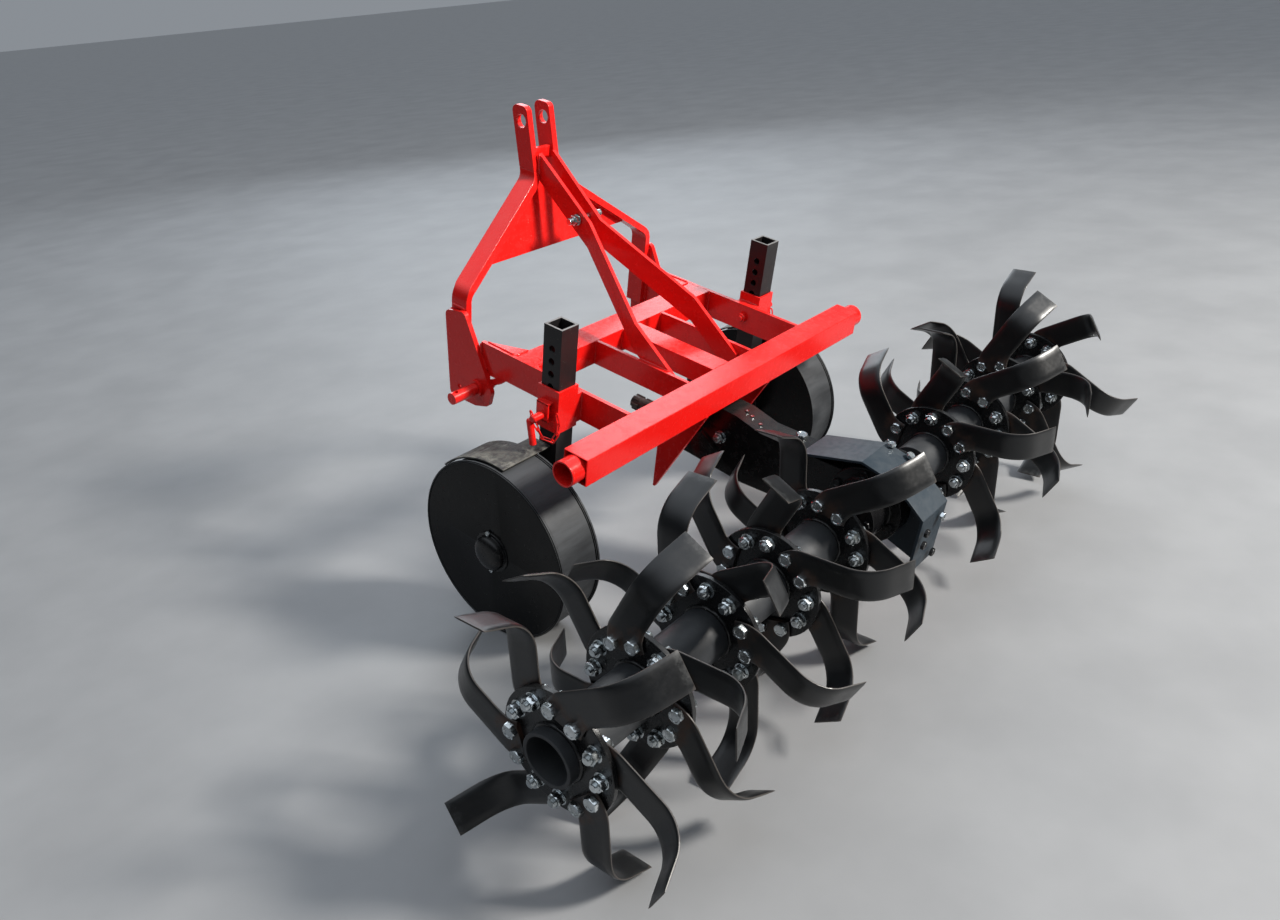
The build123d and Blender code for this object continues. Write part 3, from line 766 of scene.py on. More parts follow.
@dataclass(frozen=True)
class DustyFinish(Finish):
    """Old paint under broken dust, with scrapes along one direction."""

    scrape: Colour = rgb(0.3, 0.29, 0.26)

    def nodes(self, paint: Coating) -> None:
        """Paint, then two sizes of dust patches, then scrapes stretched along x.

        Args:
            paint: the material's tree.
        """
        up = paint.effect(DUST, Amount=self.dust, Scale=9.0)
        broad = paint.patchy(55.0, 8.0, 0.4, 0.6, 0.75)
        dust = paint.math("MULTIPLY", paint.math("ADD", up, 0.3), broad, clamp=True)
        grain = paint.noise(paint.stretched(14.0, 90.0, 90.0), 1.0, 3.0)
        scrapes = paint.times(paint.span(grain, 0.6, 0.7), up)
        plain = paint.mix(dust, self.colour, self.dust_colour)
        paint.feed(
            Base_Color=paint.mix(scrapes, plain, self.scrape),
            Roughness=paint.scaled(dust, 0.35, self.rough, clamp=True),
        )
        paint.lift(paint.math("ADD", dust, scrapes), 0.0006)


@dataclass(frozen=True)
class TineFinish(Finish):
    """Black tine paint: brown heat and rust near the bolts, thin worn borders, scuffed tips."""

    bare: Colour = rgb(0.04, 0.034, 0.03)
    rust: Colour = rgb(0.055, 0.024, 0.012)
    scuff: Colour = rgb(0.075, 0.078, 0.078)
    wear: ClassVar[tuple[tuple, ...]] = (
        # attribute, millimetres where the wear starts and where it is full, its strength,
        # cells of its noise per metre, how much it covers
        ("bolt", 70.0, 24.0, 0.45, 26.0, 0.75),
        ("border", 1.6, 0.0, 0.7, 60.0, 0.8),
        ("tip", 40.0, 0.0, 0.5, 90.0, 0.3),
    )

    def nodes(self, paint: Coating) -> None:
        """Paint, then rust near the bolts, worn borders and scuffs at the tip.

        Args:
            paint: the material's tree.
        """
        masks = []
        for name, start, full, most, scale, amount in self.wear:
            distance = paint.node("Attribute", {"attribute_name": name}).outputs["Fac"]
            near = paint.times(paint.span(distance, start, full), most)
            masks.append(paint.effect(PATCHES, Near=near, Scale=scale, Amount=amount))
        rust, bare, scuff = masks
        drift = paint.patchy(12.0, 3.0, 0.32, 0.7, 0.5)
        plain = paint.mix(drift, self.colour, shade(self.colour, 1.5))
        dust = paint.effect(DUST, Amount=self.dust, Scale=22.0)
        colour = paint.mix(scuff, paint.mix(dust, plain, self.dust_colour), self.scuff)
        rough = paint.scaled(paint.patchy(120.0, 5.0, 0.3, 0.8), 0.07, self.rough - 0.03)
        rough = paint.scaled(rust, 0.3, rough)
        paint.feed(
            Base_Color=paint.mix(bare, paint.mix(rust, colour, self.rust), self.bare),
            Roughness=paint.scaled(scuff, 0.2, rough, clamp=True),
        )
        paint.lift(paint.scaled(rust, 0.5, paint.effect(SKIN, Peel=0.04, Wave=0.8)), 0.0007)


@dataclass(frozen=True)
class Plated(Finish):
    """Zinc plated or bare machined steel: metal with a cloudy tint."""

    tint: Colour = rgb(0.5, 0.49, 0.42)

    def nodes(self, paint: Coating) -> None:
        """Metal whose tint and gloss drift from place to place, with dull specks.

        Args:
            paint: the material's tree.
        """
        cloud = paint.patchy(40.0, 4.0, 0.35, 0.7)
        specks = paint.effect(SPECKS, Scale=300.0, Amount=self.specks)
        rough = paint.scaled(cloud, 0.16, self.rough)
        metal = paint.mix(cloud, self.colour, self.tint)
        paint.feed(
            Base_Color=paint.mix(specks, metal, self.dust_colour),
            Roughness=paint.scaled(specks, 0.3, rough, clamp=True),
        )
        paint.lift(paint.noise(paint.where, 600.0, 2.0), 0.0002)


class Coat(Enum):
    """The finishes of the machine."""

    RED = Finish(
        "red_gloss_paint", "red_paint", rgb(0.68, 0.009, 0.007), rough=0.25, coat=0.16,
        specular=0.32, dust=0.1, dust_colour=rgb(0.62, 0.14, 0.12), drift=0.92,
    )
    BLACK = Finish(
        "black_gloss_paint", "black_paint", rgb(0.0042, 0.0042, 0.0047), rough=0.24,
        specular=0.3, dust=0.1, dust_colour=rgb(0.12, 0.115, 0.105),
    )
    WHEEL = WheelFinish(
        "black_wheel_paint", "black_paint", rgb(0.0032, 0.0032, 0.0034), rough=0.22,
        specular=0.14, dust=0.13, dust_colour=rgb(0.16, 0.155, 0.14), specks=0.15,
    )
    POST = PostFinish(
        "brown_black_paint", "dark_post_paint", rgb(0.0125, 0.0112, 0.0118), rough=0.33,
        specular=0.3, dust=0.08,
    )
    DUSTY = DustyFinish(
        "dusty_black_paint", "dusty_steel", rgb(0.02, 0.02, 0.018), rough=0.5, dust=0.9,
        dust_colour=rgb(0.17, 0.165, 0.14),
    )
    # The cover is black paint. Its slate-blue base colour is a painted reflection of the sky, given to the whole
    # cover, while its dust and specks are real dirt.
    SKY_SHEEN_COVER = Finish(
        "slate_black_paint", "black_paint", rgb(0.02, 0.029, 0.038), rough=0.42,
        specular=0.16, dust=0.16, dust_colour=rgb(0.14, 0.145, 0.145), specks=0.4,
    )
    TUBE = Finish(
        "dull_black_paint", "tine_paint", rgb(0.024, 0.026, 0.029), rough=0.46,
        specular=0.34, dust=0.12, dust_colour=rgb(0.12, 0.12, 0.115),
    )
    ROTOR = Finish(
        "satin_black_paint", "tine_paint", rgb(0.0048, 0.005, 0.0056), rough=0.27,
        specular=0.42, dust=0.1, dust_colour=rgb(0.09, 0.087, 0.08),
    )
    TINE = TineFinish(
        "tine_black_paint", "tine_paint", rgb(0.0036, 0.004, 0.0046), rough=0.34,
        dust=0.04, dust_colour=rgb(0.09, 0.087, 0.08),
    )
    ZINC = Plated(
        "zinc_plate", "zinc_steel", rgb(0.62, 0.66, 0.68), rough=0.15, metal=1.0,
        tint=rgb(0.42, 0.45, 0.45), dust_colour=rgb(0.2, 0.19, 0.16), specks=0.25,
    )
    STEEL = Plated(
        "machined_steel", "shaft_steel", rgb(0.09, 0.075, 0.07), rough=0.34, metal=0.7,
        tint=rgb(0.04, 0.032, 0.03), dust_colour=rgb(0.03, 0.022, 0.02), specks=0.7,
    )


# CAD nodes that keep their own mesh, with softened edges


@dataclass
class NodeDresser:
    """Gives each CAD node its finish, and the painted steel a small rounding on its edges."""

    coats: ClassVar[dict[str, Coat]] = {
        "red_paint": Coat.RED, "black_paint": Coat.BLACK, "dark_post_paint": Coat.POST,
        "dusty_steel": Coat.DUSTY, "tine_paint": Coat.ROTOR, "zinc_steel": Coat.ZINC,
        "shaft_steel": Coat.STEEL,
    }
    # The case cover's finish carries a painted sky reflection in its base colour.
    own: ClassVar[dict[str, Coat]] = {
        "rotor_tubes": Coat.TUBE, "case_cover": Coat.SKY_SHEEN_COVER,
        "left_wheel": Coat.WHEEL, "right_wheel": Coat.WHEEL,
    }
    wide_rounding: ClassVar[dict[str, float]] = {
        "wheel_posts": 0.003, "rear_beam": 0.0025, "left_wheel": 0.0024, "right_wheel": 0.0024,
    }
    rounding: float = 0.0012
    bore_from: float = 0.0195
    bore_to: float = 0.0205
    bore_room: float = 0.0006

    def build(self, skip: Iterable[str]) -> None:
        """Dress every CAD node that keeps its own mesh.

        Args:
            skip: names of the nodes that other pieces replace.
        """
        slots = {row["node"]: row["material_slot"] for row in frame["record"]["subparts"]}
        for body, nodes in frame["record"]["behaviour"]["bodies"].items():
            for node in nodes:
                if node not in skip:
                    self.soften(node, body, slots[node])

    def open_bore(self, mesh: bpy.types.Mesh, body: str) -> None:
        """Give a wheel's hidden bore room for the axle's flat facets as the wheel turns.

        Every point whose distance from the wheel's axis lies within the bore band is moved
        straight outward by the room.

        Args:
            mesh: the wheel's mesh, changed in place.
            body: the wheel's body, whose joint gives the axis.
        """
        joints = frame["record"]["behaviour"]["joints"]
        axis = next(joint["pos_m"] for joint in joints if joint["child"] == body)
        points = np.empty(len(mesh.vertices) * 3)
        mesh.vertices.foreach_get("co", points)
        points = points.reshape(-1, 3)
        arm = points[:, 1:] - np.array(axis[1:])
        far = np.hypot(arm[:, 0], arm[:, 1])
        inside = (far > self.bore_from) & (far < self.bore_to)
        push = np.where(inside, self.bore_room / np.maximum(far, self.bore_from), 0.0)
        points[:, 1:] += arm * push[:, None]
        mesh.vertices.foreach_set("co", points.ravel())
        mesh.update()

    def soften(self, node: str, body: str, slot: str) -> None:
        """Copy a node's mesh, weld it, round its sharp edges and let the copy stand for the node.

        Args:
            node: name of the CAD node.
            body: its body.
            slot: the record's material slot.
        """
        coat = self.own.get(node, self.coats[slot])
        mesh = frame["nodes"][node].data.copy()
        mesh.name = node + "_skin"
        if coat is Coat.WHEEL:
            self.open_bore(mesh, body)
        weld(mesh, outward=False)
        bm = bmesh.new()
        bm.from_mesh(mesh)
        flat = {"angle_limit": math.radians(0.5), "delimit": {"NORMAL"}}
        bmesh.ops.dissolve_limit(bm, verts=bm.verts, edges=bm.edges, **flat)
        bm.to_mesh(mesh)
        bm.free()
        piece = dress(mesh, node + "_skin", body, coat, 35.0)
        bevel = piece.modifiers.new("edges", "BEVEL")
        bevel.width, bevel.segments = self.wide_rounding.get(node, self.rounding), 2
        bevel.limit_method, bevel.angle_limit = "ANGLE", math.radians(40)
        bevel.harden_normals = bevel.use_clamp_overlap = True
        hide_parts(node)


# Fasteners


@dataclass(frozen=True)
class Fastener:
    """Hexagon bolt, drawn outward from the face that it clamps, with its axis along z."""

    flats: float = 24.0
    head_high: float = 10.0
    nut_high: float = 13.0
    shank: float = 16.0
    end_long: float = 7.0
    washer: float = 2.4
    thread: float = 1.75

    @property
    def corner(self) -> float:
        """Radius across the corners."""
        return self.flats / math.sqrt(3.0)

    def head(self) -> Shape:
        """Head with its corners turned off and a shallow dish in its top.

        Returns:
            The head, standing on z = 0.
        """
        c, h, f = self.corner, self.head_high, self.flats / 2
        dish = [(f * 0.97, h), (f * 0.72, h), (f * 0.66, h - 0.7), (0, h - 0.7)]
        return turned([(0, 0), (c, 0), (c, h - 1.6)] + dish, 24, self.flats)

    def nut(self) -> Shape:
        """Nut on a thin washer, with the bolt's threaded end standing out of it.

        Returns:
            The washer, nut and bolt end, standing on z = 0.
        """
        c, f, r, low = self.corner, self.flats / 2, self.shank / 2, self.washer
        high = low + self.nut_high
        rim = low + 0.2
        washer = turned([(0, 0), (f * 1.24, 0), (f * 1.24, 2.2), (f * 1.1, rim), (0, rim)], 20)
        sides = [(0, low), (f * 0.97, low), (c, low + 1.5), (c, high - 1.5), (f * 0.97, high)]
        hole = [(r * 1.12, high), (r * 0.9, high - 1.2), (0, high - 1.2)]
        body = turned(sides + hole, 24, self.flats)
        top, tip = high - 1.5, high - 1.5 + self.end_long
        turns = [(0, top)]
        for k in range(int(self.end_long / self.thread)):
            start = top + self.thread * k
            turns += [(r * 0.99, start), (r * 0.86, start + 0.9)]
        turns += [(r * 0.99, tip), (r * 0.8, tip + 1.2), (0, tip + 1.2)]
        return washer.join(body).join(turned(turns, 12))


def spun(place: int) -> tuple[float, float, float]:
    """A direction square to x that differs from one fastener to the next."""
    angle = 2.399 * place
    return 0.0, math.cos(angle), math.sin(angle)


# Rotor


@dataclass
class Rotor:
    """Tines, bolts and weld beads on the rotor."""

    flange_turns: ClassVar[dict[float, float]] = {
        # x of the flange: turn of its first tine
        -984.0: 98.0, -795.0: 68.0, -604.0: 38.0, -415.0: 8.0, -231.0: -22.0,
        256.0: 8.0, 448.0: -22.0, 646.0: -52.0, 843.0: -82.0,
    }
    flange_half: float = 5.0
    weld: float = 5.0
    tube_radius: float = 49.0
    bolt_circle: float = 90.0
    bolt_turn: float = 15.0
    tip_mid: float = 263.8
    tip_turn: float = 27.2
    sweep: float = 42.5
    thick: float = 8.0
    root_start: float = 73.0
    root_half: float = 38.0
    root_flat: float = 6.0
    blade_half: float = 31.0
    bend_radius: float = 68.0
    bend_deg: float = 68.0
    end_long: float = 51.0
    border_thick: float = 3.4
    border_round: float = 0.6
    bevel_wide: float = 7.0
    middle_half: float = 0.34
    tip_thin: float = 14.0
    tip_share: float = 0.42
    taper: float = 0.25
    bolt: Fastener = Fastener()

    def place(self, x: float, angle: float, flip: bool) -> np.ndarray:
        """Placing matrix of a tine: outward, onward in the turn, and along the axis.

        Args:
            x: place along the rotor axis.
            angle: turn from forward towards up, in degrees.
            flip: whether the third axis points left, which mirrors the shape.

        Returns:
            A 3 by 4 matrix.
        """
        a = math.radians(angle)
        out, on = (0.0, math.cos(a), math.sin(a)), (0.0, -math.sin(a), math.cos(a))
        return np.column_stack([out, on, (-1.0 if flip else 1.0, 0, 0), (x, ROTOR_Y, ROTOR_Z)])

    def edge(self, across: float, root_v: float, end: float) -> np.ndarray:
        """One border of the flat tine: root line, elbow arc, then a line along the sweep.

        The stations of both borders match, so that a straight line joins each pair.

        Args:
            across: distance of the swept border from the sweep line through the axis.
            root_v: distance of the root border from the root's middle line.
            end: unrolled distance along the sweep at which the border ends.

        Returns:
            Array of along and across for each station, its first and last doubled.
        """
        sweep = math.radians(self.sweep)
        c, s = math.cos(sweep), math.sin(sweep)
        corner_u = ((root_v - across * c) / s) * c - across * s
        start_u = self.root_start + self.root_flat
        radius = (corner_u - start_u) / math.tan(sweep / 2)
        turn = np.linspace(0, sweep, 10)
        arc = [start_u + radius * np.sin(turn), root_v + radius * (1 - np.cos(turn))]
        plan = np.concatenate([[[self.root_start, root_v]], np.stack(arc, -1)])
        root = plan @ np.array([[c, -s], [s, c]])
        run = np.linspace(root[-1, 0], end, 25)[1:]
        line = np.concatenate([root, np.stack([run, np.full(24, across)], -1)])
        return np.concatenate([line[:1], line, line[-1:]])

    def section(self) -> tuple[np.ndarray, np.ndarray, np.ndarray]:
        """The strip's section, once round, from the flange side and back over the other.

        Returns:
            For each corner: its distance in millimetres from the border that it belongs to, its
            share of the strip's width measured without that distance, and its height over the
            middle of the thickness. The thickness grows from the worn border over the bevel.
        """
        inset = np.array([0.0, self.border_round, self.bevel_wide])
        border = self.border_thick / 2
        rise = np.array([border - self.border_round, border, self.thick / 2])
        middle = 0.5 + self.middle_half * np.linspace(-1.0, 1.0, 7)[1:-1]
        inset = np.concatenate([inset, np.zeros(5), -inset[::-1]])
        share = np.concatenate([np.zeros(3), middle, np.ones(3)])
        rise = np.concatenate([rise, np.full(5, self.thick / 2), rise[::-1]])
        both = [np.concatenate([part, part[::-1]]) for part in (inset, share)]
        return both[0], both[1], np.concatenate([-rise, rise[::-1]])

    def tine(self) -> Shape:
        """One tine with its root on the plane z = 0 and its tip bent towards +z.

        Across the strip a point is a blend t of the two borders. Its depth is half the thickness
        plus the section's height, which tapers towards the tip and thins over the last
        millimetres. Past the bend line at distance a it rolls up by the angle
        p = (a - bend) / middle radius, to the full bend, and then runs on straight by the rest q:
        along = bend + r sin p + q cos p, height = R - r cos p + q sin p, r = R + depth.

        Returns:
            The tine in its own axes: outward, onward, along the rotor axis.
        """
        sweep, full, lean = (math.radians(v) for v in (self.sweep, self.bend_deg, self.tip_turn))
        c, s = math.cos(sweep), math.sin(sweep)
        tip_u, tip_v = self.tip_mid * math.cos(lean), self.tip_mid * math.sin(lean)
        along, middle = tip_u * c + tip_v * s, tip_v * c - tip_u * s
        outer = self.bend_radius + self.thick
        bend = along - outer * math.sin(full) - self.end_long * math.cos(full)
        mid_radius = self.bend_radius + self.thick / 2
        end = bend + mid_radius * full + self.end_long
        low = self.edge(middle - self.blade_half, -self.root_half, end)
        high = self.edge(middle + self.blade_half, self.root_half, end)
        wide = np.linalg.norm(high - low, axis=1)[:, None]
        inset, share, rise = self.section()
        t = share + inset / wide
        run = np.clip((np.arange(len(low)) - 1) / (len(low) - 3), 0.0, 1.0)[:, None]
        left = (end - low[:, :1]) / self.tip_thin
        thin = np.clip(self.tip_share + (1 - self.tip_share) * left, self.tip_share, 1.0)
        depth = self.thick / 2 + rise * thin * (1 - self.taper * run)
        depth[0] = depth[-1] = self.thick / 2
        flat = low[:, None] * (1 - t)[..., None] + high[:, None] * t[..., None]
        a, b = flat[..., 0], flat[..., 1]
        roll = np.clip(a - bend, 0, mid_radius * full) / mid_radius
        rest = np.maximum(a - bend - mid_radius * full, 0)
        radius = self.bend_radius + depth
        bent = bend + radius * np.sin(roll) + rest * np.cos(roll)
        risen = self.bend_radius - radius * np.cos(roll) + rest * np.sin(roll)
        reach, height = np.where(a > bend, bent, a), np.where(a > bend, risen, -depth)
        u, v = reach * c - b * s, reach * s + b * c
        border = np.minimum(np.minimum(t, 1 - t) * wide, np.maximum(end - a, 0))
        turn = math.radians(self.bolt_turn)
        bolt_u, bolt_v = self.bolt_circle * math.cos(turn), self.bolt_circle * math.sin(turn)
        bolt = np.hypot(u - bolt_u, np.abs(v) - bolt_v)
        return Shape().grid(np.stack([u, v, height], -1), border=border, bolt=bolt, tip=end - a)

    def tines(self, name: str, right: bool) -> None:
        """Build the tines of one side of the rotor in place of a CAD node.

        Args:
            name: name of the CAD node.
            right: whether they are the tines on the machine's right.
        """
        places = []
        for x, first in self.flange_turns.items():
            if (x > 0) == right:
                for turn in (0, 120, 240):
                    places.append(self.place(x - self.flange_half, first + turn, False))
                    places.append(self.place(x + self.flange_half, first + turn + 60, True))
        piece = self.tine().copies(places).build(name + "_skin", "rotor", Coat.TINE, 50.0)
        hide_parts(name)

    def bolts(self) -> None:
        """Hexagon bolts through flange and tine roots, head on the tine and nut on the flange."""
        heads, nuts = [], []
        for row, (x, first) in enumerate(self.flange_turns.items()):
            for step in range(12):
                turn = first + self.bolt_turn + 30 * step
                side = 1.0 if (step + 1) // 2 % 2 == 1 else -1.0
                head = on_ring(x + side * (self.flange_half + self.thick), self.bolt_circle, turn)
                nut = on_ring(x - side * self.flange_half, self.bolt_circle, turn)
                heads.append(axes_at(head, (side, 0, 0), spun(12 * row + step)))
                nuts.append(axes_at(nut, (-side, 0, 0), spun(12 * row + step)))
        made = self.bolt.head().copies(heads).join(self.bolt.nut().copies(nuts))
        made.build("flange_bolts", "rotor", Coat.ZINC, 25.0)

    def welds(self) -> None:
        """A weld bead round the tube on both faces of each flange."""
        faces = [x + side * self.flange_half for x in self.flange_turns for side in SIDES]
        rings = [ring(x, ROTOR_Y, ROTOR_Z, self.tube_radius, 110) for x in faces]
        beads = gathered(bead(path, self.weld, closed=True) for path in rings)
        beads.build("tube_welds", "rotor", Coat.ROTOR, 60.0)

    def build(self) -> None:
        """Build every piece of the rotor."""
        self.tines("left_tines", False)
        self.tines("right_tines", True)
        self.bolts()
        self.welds()


# Wheels


@dataclass
class Wheels:
    """Hub caps, their bolts, the seams between disc and drum and the lip of the outer disc."""

    y: float = 229.7
    z: float = -334.7
    inner_x: float = 432.0
    wide: float = 115.0
    disc: float = 6.0
    drum_radius: float = 208.0
    lip_radius: float = 208.5
    lip: float = 2.2
    seam: float = 2.6
    seam_pitch: float = 7.0
    flange_radius: float = 48.0
    flange_high: float = 3.4
    dome_radius: float = 40.5
    dome_high: float = 25.0
    bolt_circle: float = 46.5
    bolt_turns: tuple[float, float] = (78.0, 265.0)
    bolt: Fastener = Fastener(flats=11.0, head_high=5.0, shank=8.0)

    def cap(self) -> Shape:
        """Hub cap: a thin flange with a rounded dome.

        Returns:
            The cap, standing on z = 0.
        """
        f, d, h = self.flange_radius, self.dome_radius, self.dome_high
        flange = [(0, 0), (f, 0), (f, 2.4), (f - 1.0, self.flange_high), (d + 1.2, 3.8), (d, 5.0)]
        dome = [
            (d, h * 0.54), (d - 2.5, h * 0.7), (d - 8.5, h * 0.85), (d - 18.5, h * 0.94),
            (d * 0.25, h * 0.99), (0, h),
        ]
        return turned(flange + dome, 48)

    def build(self) -> None:
        """Build the pieces of both wheels, each riding on its wheel."""
        for side, body in zip(SIDES, ("left_wheel", "right_wheel")):
            out = (side, 0, 0)
            face = side * (self.inner_x + self.wide)
            cap = self.cap().copies([axes_at((face, self.y, self.z), out, (0, 0, 1))])
            cap.build(body + "_cap", body, Coat.BLACK, 40.0)
            seat = face + side * self.flange_high
            spots = [
                axes_at(on_ring(seat, self.bolt_circle, turn, self.y, self.z), out, spun(step))
                for step, turn in enumerate(self.bolt_turns)
            ]
            self.bolt.head().copies(spots).build(body + "_bolts", body, Coat.ZINC, 25.0)
            rims = [self.inner_x + self.disc, self.inner_x + self.wide - self.disc]
            rings = [ring(side * x, self.y, self.z, self.drum_radius, 300) for x in rims]
            seams = gathered(bead(path, self.seam, True, self.seam_pitch) for path in rings)
            rim = ring(face, self.y, self.z, self.lip_radius, 300)
            seams.join(swept(rim, circle(self.lip, 8), (1, 0, 0), closed=True))
            seams.build(body + "_seams", body, Coat.WHEEL, 60.0)


# Frame


@dataclass
class FrameWelds:
    """Weld beads on the red frame, given for the right side and mirrored to the left."""

    beam_deep: float = 62.0
    outer_in: float = 320.0
    outer_out: float = 330.0
    outer_deep: float = 70.0
    outer_front: float = 499.0
    inner_in: float = 116.0
    inner_out: float = 126.0
    inner_deep: float = 60.0
    tube_rear: float = 331.0
    tube_front: float = 399.0
    centre_half: float = 30.0
    sleeve_y: float = 219.6
    sleeve_half: float = 30.2
    sleeve_in: float = 342.3
    mast_y: float = 574.0
    mast_half: float = 24.5
    mast_z: tuple[float, float] = (-104.0, 50.0)
    hitch_top: float = 60.0
    hitch_top_half: float = 22.0
    hitch_slope: tuple[tuple[float, float], ...] = ((519.0, -3.0), (478.0, -66.0))
    gusset_in: float = 281.0
    gusset_front: float = 488.0
    stay_y: tuple[float, float] = (122.0, 205.0)
    ear_in: float = 28.0
    ear_y: float = 627.0
    ear_z: tuple[float, float] = (290.0, 344.0)
    spacer_y: tuple[float, float] = (645.0, 655.0)
    spacer_z: tuple[float, float] = (323.0, 351.0)
    leg_low: tuple[float, float] = (330.0, 97.0)
    leg_high: tuple[float, float] = (45.0, 288.0)
    leg_top_y: float = 645.0
    web_in: float = 30.4
    web_back: float = 4.0
    web_z: tuple[float, float] = (134.0, 266.0)
    large: float = 4.2
    small: float = 3.0

    def seams(self) -> list[Seam]:
        """The straight seams of the right side.

        Returns:
            Radius and corner points of each seam.
        """
        beam, sleeve, mast = self.beam_deep, self.sleeve_y, self.mast_y
        large, small, out, inner = self.large, self.small, self.outer_out, self.inner_in
        low, high, outer_low = 2 - self.inner_deep, -2, 2 - self.outer_deep
        inner_xs = (inner, self.inner_out, self.centre_half)
        tube = (self.tube_rear, self.tube_front)
        # radius, x, y, lower z, upper z
        upright = [(large, x, beam, 2 - beam, high) for x in (self.outer_in, out)]
        upright += [(small, x, y, low, high) for y in (beam, self.tube_rear) for x in inner_xs]
        upright += [(large, self.outer_in, y, low, high) for y in tube]
        upright += [(small, out, sleeve + k * self.sleeve_half, outer_low, high) for k in SIDES]
        upright += [(large, out, mast + k * self.mast_half, *self.mast_z) for k in SIDES]
        upright += [(large, self.ear_in, self.ear_y, *self.ear_z)]
        upright += [(small, self.ear_in, y, *self.spacer_z) for y in self.spacer_y]
        # radius, x, z, rear y, front y
        along = [
            # top of the hitch plate, stay along the inner member, sleeve on its spacer
            (large, out, self.hitch_top, mast - self.hitch_top_half, mast + self.hitch_top_half),
            (small, inner, 0, *self.stay_y),
            (small, self.sleeve_in, 0, sleeve - 28, sleeve + 28),
            # corner gusset along the member, hanger plate under the beam
            (small, self.outer_in, 0, self.tube_front + 4, self.gusset_front),
            (small, inner, -beam, 3, beam - 3),
            (small, self.inner_out, -beam, 3, beam - 3),
        ]
        return (
            [(radius, [(x, y, z0), (x, y, z1)]) for radius, x, y, z0, z1 in upright]
            + [(radius, [(x, y0, z), (x, y1, z)]) for radius, x, z, y0, y1 in along]
            + [
                # member end and the hitch plate that it runs into
                (large, [(out, self.outer_front, outer_low), (out, self.outer_front, -3)]),
                (large, [(out, y, z) for y, z in self.hitch_slope]),
                # corner gusset along the tube
                (small, [(x, self.tube_front, 0) for x in (self.gusset_in, self.outer_in - 3)]),
            ]
        )

    def web_seam(self) -> Seam:
        """The seam of the mast plate along the inside of the leaning leg.

        Returns:
            Radius and ends of the seam.
        """
        (x0, z0), (x1, z1) = self.leg_low, self.leg_high
        rise, lean = (self.leg_top_y - self.mast_y) / (z1 - z0), (x0 - x1) / (z1 - z0)
        y0 = self.mast_y - self.web_back
        ends = [(x0 - self.web_in - (z - z0) * lean, y0 + rise * (z - z0), z) for z in self.web_z]
        return self.small, ends

    def build(self) -> None:
        """Lay every seam on both sides."""
        beads = gathered(
            bead(np.array(points) * (side, 1, 1), radius)
            for radius, points in self.seams() + [self.web_seam()]
            for side in SIDES
        )
        beads.build("frame_welds", "frame", Coat.RED, 60.0)


